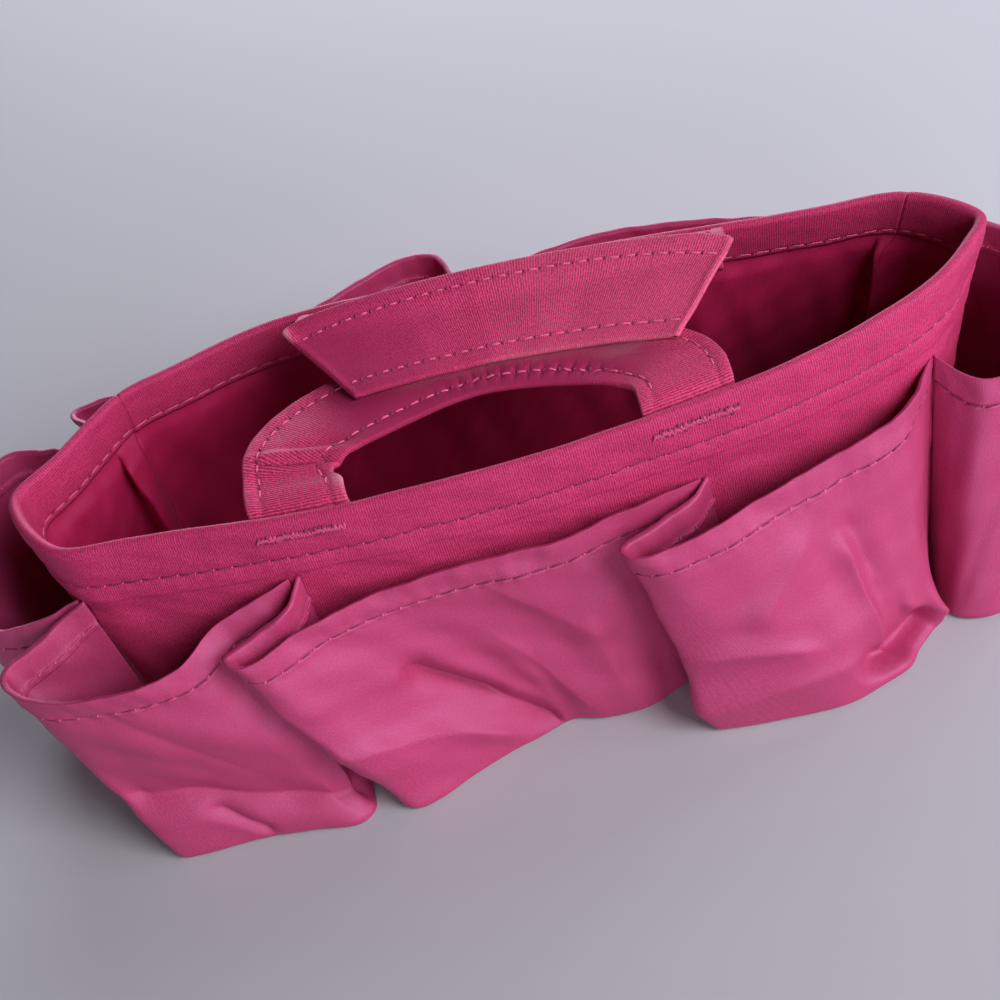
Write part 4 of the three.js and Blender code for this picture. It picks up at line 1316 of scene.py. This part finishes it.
class ORGANIZER_OT_back_handle(Operator):
    """Sews the back handle: its sewn ends, two legs and the grip creased over them"""
    bl_idname = "organizer.back_handle"
    bl_label = "Back handle"

    def execute(self, context):
        sizes = context.scene.organizer_straps
        shares = across_shares()
        grip, t = back_grip(shares)
        half = strap_thickness(shares * STRAP_WIDTH, sizes) * np.ones((len(grip), 1))
        fold = np.minimum(t, 1 - t)[:, None] * 2 * BACK["overhang"]
        half = half * np.sqrt(1 - (1 - np.clip(fold / 0.9, 0, 1)) ** 2) + 0.25 * bump(fold - 1.4, 1.2)
        half = half * np.clip(fold / 0.02, 0, 1)
        opening = ("back_handle_legs", "back_handle_grip",
                   grip_place(0.0, -4.5, 0.0), grip_place(0.0, 3.0, 0.0))
        corner = bump(fold, 3.2) * bump((1 - shares[None, :]) * STRAP_WIDTH, 4.0) * (t[:, None] < 0.5)
        wear_and_painted_shading = np.clip(edge_wear(shares)[None, :] + 0.12 * bump(fold, 1.0) + 0.8 * corner, 0, 1)
        # Painted light and shade: the grip is a little paler towards its right end and darker towards its
        # left end, apart from the worn corner.
        wear_and_painted_shading = wear_and_painted_shading + 0.05 * smooth(0.3, 0.6, t)[:, None]
        wear_and_painted_shading = wear_and_painted_shading - 0.75 * smooth(0.5, 0.05, t)[:, None] * (1 - corner)
        sew_strap("back_handle_grip_strap", grip, half, wear_and_painted_shading, ("back_handle_grip",), blend=opening)
        stiffen("back_handle_grip_stiffening", grip[8:-8:2, 6:-6], "back_handle_grip_core", blend=opening)
        strap_rows("back_handle_grip", grip, half, shares, context, 111, blend=opening,
                   keep=slice(4, -4), share=(0.42, 0.86))
        for side, sign in (("left", 1), ("right", -1)):
            self.leg(side, sign, context, shares)
        return {"FINISHED"}

    def leg(self, side, sign, context, shares):
        """One leg, straight from its hinge line to the crease, and its sewn end."""
        sizes = context.scene.organizer_straps
        rise = np.radians(BACK["legs_tilt"])
        run = np.linspace(0.9, BACK["crease"] - 0.7, 34)[:, None]
        across = sign * BACK["leg"] + (0.5 - shares[None, :]) * STRAP_WIDTH
        belly = 0.4 * np.sin(np.pi * (run - 0.9) / (BACK["crease"] - 1.6))
        middle = back_place(across, run * np.cos(rise) - belly * np.sin(rise),
                            run * np.sin(rise) + belly * np.cos(rise))
        half = strap_thickness(shares * STRAP_WIDTH, sizes)[None, :] * smooth(-0.6, 1.2, run)
        # Painted shade: besides the worn edges, the leg is darkened from a few millimetres above its hinge
        # line up to the crease, under the grip.
        wear_and_painted_shading = edge_wear(shares)[None, :] - smooth(4, 12, run)
        node = f"back_handle_{side}_leg"
        legs = "back_handle_legs"
        sew_strap(node + "_strap", middle, half, wear_and_painted_shading, (node,), legs)
        stiffen(node + "_stiffening", middle[2:-2, 6:-6], node + "_core", legs)
        strap_rows(node, middle, half, shares, context, 121 + 3 * sign, legs)
        top = back_place(across[0], 0.0, 0.0)
        tab = tab_points(top[:, 0], BACK_PLACES, 1.0)
        lip = np.stack([top[:, 0], top[:, 1] + 0.7, np.full(len(shares), PIVOT_HEIGHT - 0.9)], axis=1)
        s = np.linspace(0, 1, 9)[1:, None, None]
        corner = np.stack([tab[-1][:, 0], tab[-1][:, 1], lip[:, 2] - 0.2], axis=1)
        sewn = np.concatenate([tab, rounded(tab[-1], corner, lip, s)])
        length = lengths(sewn[:, len(shares) // 2], 0)[:, None]
        half = strap_thickness(shares * STRAP_WIDTH, sizes)[None, :]
        half = half * (1 - 0.5 * smooth(length[-1] - 2, length[-1], length))
        wear_and_painted_shading = edge_wear(shares)[None, :] + 0 * length
        sew_strap(f"back_handle_{side}_sewn_end", sewn, half, wear_and_painted_shading, (f"back_handle_{side}_tab",))


class ORGANIZER_OT_bar_tacks(Operator):
    """Sews the dense zigzag tacks over the strap ends, outside the rim"""
    bl_idname = "organizer.bar_tacks"
    bl_label = "Bar tacks"

    def execute(self, context):
        tub = context.scene.organizer_tub
        pitch = context.scene.organizer_thread.pitch / MM
        for number, (node, places) in enumerate((
                ("front_left_bar_tack", FRONT_PLACES), ("front_right_bar_tack", FRONT_PLACES),
                ("back_left_bar_tack", BACK_PLACES), ("back_right_bar_tack", BACK_PLACES))):
            low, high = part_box(node)
            level = (low[2] + high[2]) / MM / 2
            draw = np.random.RandomState(200 + number)

            def pass_over(count, reach):
                """Ends of one pass of the needle: to and fro, a little unevenly."""
                x = np.linspace(low[0] / MM + 0.3, high[0] / MM - 0.3, count)
                x = x + draw.uniform(-0.3, 0.3, count)
                swing = np.where(np.arange(count) % 2, reach, -reach) * draw.uniform(0.5, 1.25, count)
                place = place_at_x(x, places, level)
                face = wall_wave(place, level) + rim_relief(place, level, tub, pitch)
                spots = wall_at(place, level + swing, face + 0.12)
                return spots, unit(wall_at(place, level, 1.0) - wall_at(place, level, 0.0))

            # The under pass is painted shade between the threads, and the top pass painted highlight.
            for label, look, count, reach, radius in (
                    ("under_thread", "shaded_thread", 38, 1.35, 0.3), ("thread", "thread", 46, 0.95, 0.4),
                    ("top_thread", "lit_thread", 22, 0.8, 0.27)):
                spots, square = pass_over(count, reach)
                step = spots[1:] - spots[:-1]
                middles, up = (spots[1:] + spots[:-1]) / 2, (square[1:] + square[:-1]) / 2
                spans = np.linalg.norm(step, axis=1) * 1.1
                made = threads(f"{node}_{label}", middles, unit(step), up, spans, radius, arch=1.0)
                dress(made, look, stands_for=(node,))
        return {"FINISHED"}


# Half the floor's width in millimetres, and the lamps' width and distance in metres
FLOOR_REACH = 3000.0
LAMP_SIZE = 0.9
LAMP_DISTANCE = 1.6


def aim(thing, right, up, back, place):
    """Turns a lamp or camera by its own three axes and puts it in its place."""
    matrix = Matrix(np.array([right, up, back]).T.tolist()).to_4x4()
    matrix.translation = place
    thing.matrix_world = matrix


class ORGANIZER_OT_stage(Operator):
    """Sets the floor, the soft light and the camera"""
    bl_idname = "organizer.stage"
    bl_label = "Floor, light and camera"

    def execute(self, context):
        scene = context.scene
        self.floor(tuple(scene.organizer_colours.floor))
        self.light_room(scene)
        self.place_camera(scene)
        scene.view_settings.view_transform = "Standard"
        return {"FINISHED"}

    def floor(self, colour):
        """A plain pale surface with painted light: lighter to the right and the back."""
        corners = np.array([[-1.0, -1, 0], [1, -1, 0], [1, 1, 0], [-1, 1, 0]]) * FLOOR_REACH
        floor = finish_mesh("studio_floor", corners, np.array([[0, 1, 2, 3]]),
                            (corners[:, :2] + FLOOR_REACH) * MM)
        material, tree, shader, room = new_material("pale_surface")
        across = add_node(tree, "VectorMath", {0: room, 1: (0.82, 0.57, 0.0)}, operation="DOT_PRODUCT")
        painted_light_sweep = spread(tree, across.outputs["Value"], -0.15, 0.55, interpolation_type="SMOOTHSTEP")
        tone = mix_colour(tree, noise(tree, room, 7.0, 3.0), tint(colour, 0.97), tint(colour, 1.03))
        # Painted light: the tone is raised towards the right and the back.
        tone = mix_colour(tree, painted_light_sweep, tone, tint(colour, 1.3))
        fill_shader(tree, shader, {"Base Color": tone, "Roughness": 0.75})
        floor.data.materials.append(material)

    def light_room(self, scene):
        """A dim world and soft round lamps, each by its azimuth, elevation, power and tone."""
        world = bpy.data.worlds.new("soft_room")
        world.use_nodes = True
        background = world.node_tree.nodes["Background"].inputs
        background["Color"].default_value = (0.92, 0.94, 1.0, 1.0)
        background["Strength"].default_value = 0.03
        scene.world = world
        for name, azimuth, elevation, power, tone in (
                ("window", 45, 40, 17.5, (1.0, 0.99, 0.97)),
                ("front_fill", 0, 15, 7.4, (1.0, 0.98, 0.98)),
                ("side_fill", 70, 15, 8.5, (1.0, 0.99, 0.99)),
                ("right_back", 130, 38, 6.0, (0.96, 0.98, 1.0)),
                ("back", 180, 15, 18.5, (0.95, 0.97, 1.0))):
            light = bpy.data.lights.new(name, "AREA")
            light.shape = "DISK"
            light.size = LAMP_SIZE
            light.energy = power
            light.color = tone
            lamp = bpy.data.objects.new(name, light)
            scene.collection.objects.link(lamp)
            turn, lift = np.radians(azimuth), np.radians(elevation)
            back = np.array([np.cos(lift) * np.sin(turn), -np.cos(lift) * np.cos(turn), np.sin(lift)])
            right = unit(np.cross([0.0, 0.0, 1.0], back))
            aim(lamp, right, np.cross(back, right), back, back * LAMP_DISTANCE)

    def place_camera(self, scene):
        """The photograph's camera, as fitted to it."""
        lens = bpy.data.cameras.new("camera")
        lens.lens = 61.2
        lens.sensor_width = 36.0
        lens.clip_end = 20.0
        camera = bpy.data.objects.new("camera", lens)
        scene.collection.objects.link(camera)
        aim(camera, right=(0.9599, -0.1755, -0.2185), up=(0.2784, 0.6857, 0.6725),
            back=(0.0318, -0.7064, 0.7071), place=(0.0135, -0.3407, 0.3797))
        scene.camera = camera


class ORGANIZER_PT_panel(Panel):
    """Buttons that make the organizer piece by piece, and the sizes they use"""
    bl_label = "Purse organizer"
    bl_idname = "ORGANIZER_PT_panel"
    bl_space_type = "VIEW_3D"
    bl_region_type = "UI"
    bl_category = "Organizer"

    def draw(self, context):
        for group in SETTINGS:
            box = self.layout.box()
            owner = getattr(context.scene, group)
            for name in owner.bl_rna.properties.keys():
                if name not in ("rna_type", "name"):
                    box.prop(owner, name)
        for maker in OPERATORS:
            self.layout.operator(maker.bl_idname)


SETTINGS = {
    "organizer_tub": TubSizes, "organizer_pockets": PocketSizes, "organizer_straps": StrapSizes,
    "organizer_thread": ThreadSizes, "organizer_colours": OrganizerColours,
}
OPERATORS = (
    ORGANIZER_OT_walls, ORGANIZER_OT_base, ORGANIZER_OT_pockets, ORGANIZER_OT_front_handle,
    ORGANIZER_OT_back_handle, ORGANIZER_OT_bar_tacks, ORGANIZER_OT_stage,
)


def register():
    """Registers the settings, the operators and the panel."""
    for name, group in SETTINGS.items():
        bpy.utils.register_class(group)
        setattr(bpy.types.Scene, name, PointerProperty(type=group))
    for maker in (*OPERATORS, ORGANIZER_PT_panel):
        bpy.utils.register_class(maker)


def unregister():
    """Takes the panel, the operators and the settings away again."""
    for maker in reversed((*OPERATORS, ORGANIZER_PT_panel)):
        bpy.utils.unregister_class(maker)
    for name, group in reversed(SETTINGS.items()):
        delattr(bpy.types.Scene, name)
        bpy.utils.unregister_class(group)


def main():
    register()
    for maker in OPERATORS:
        group, action = maker.bl_idname.split(".")
        getattr(getattr(bpy.ops, group), action)()


if __name__ == "__main__":
    main()
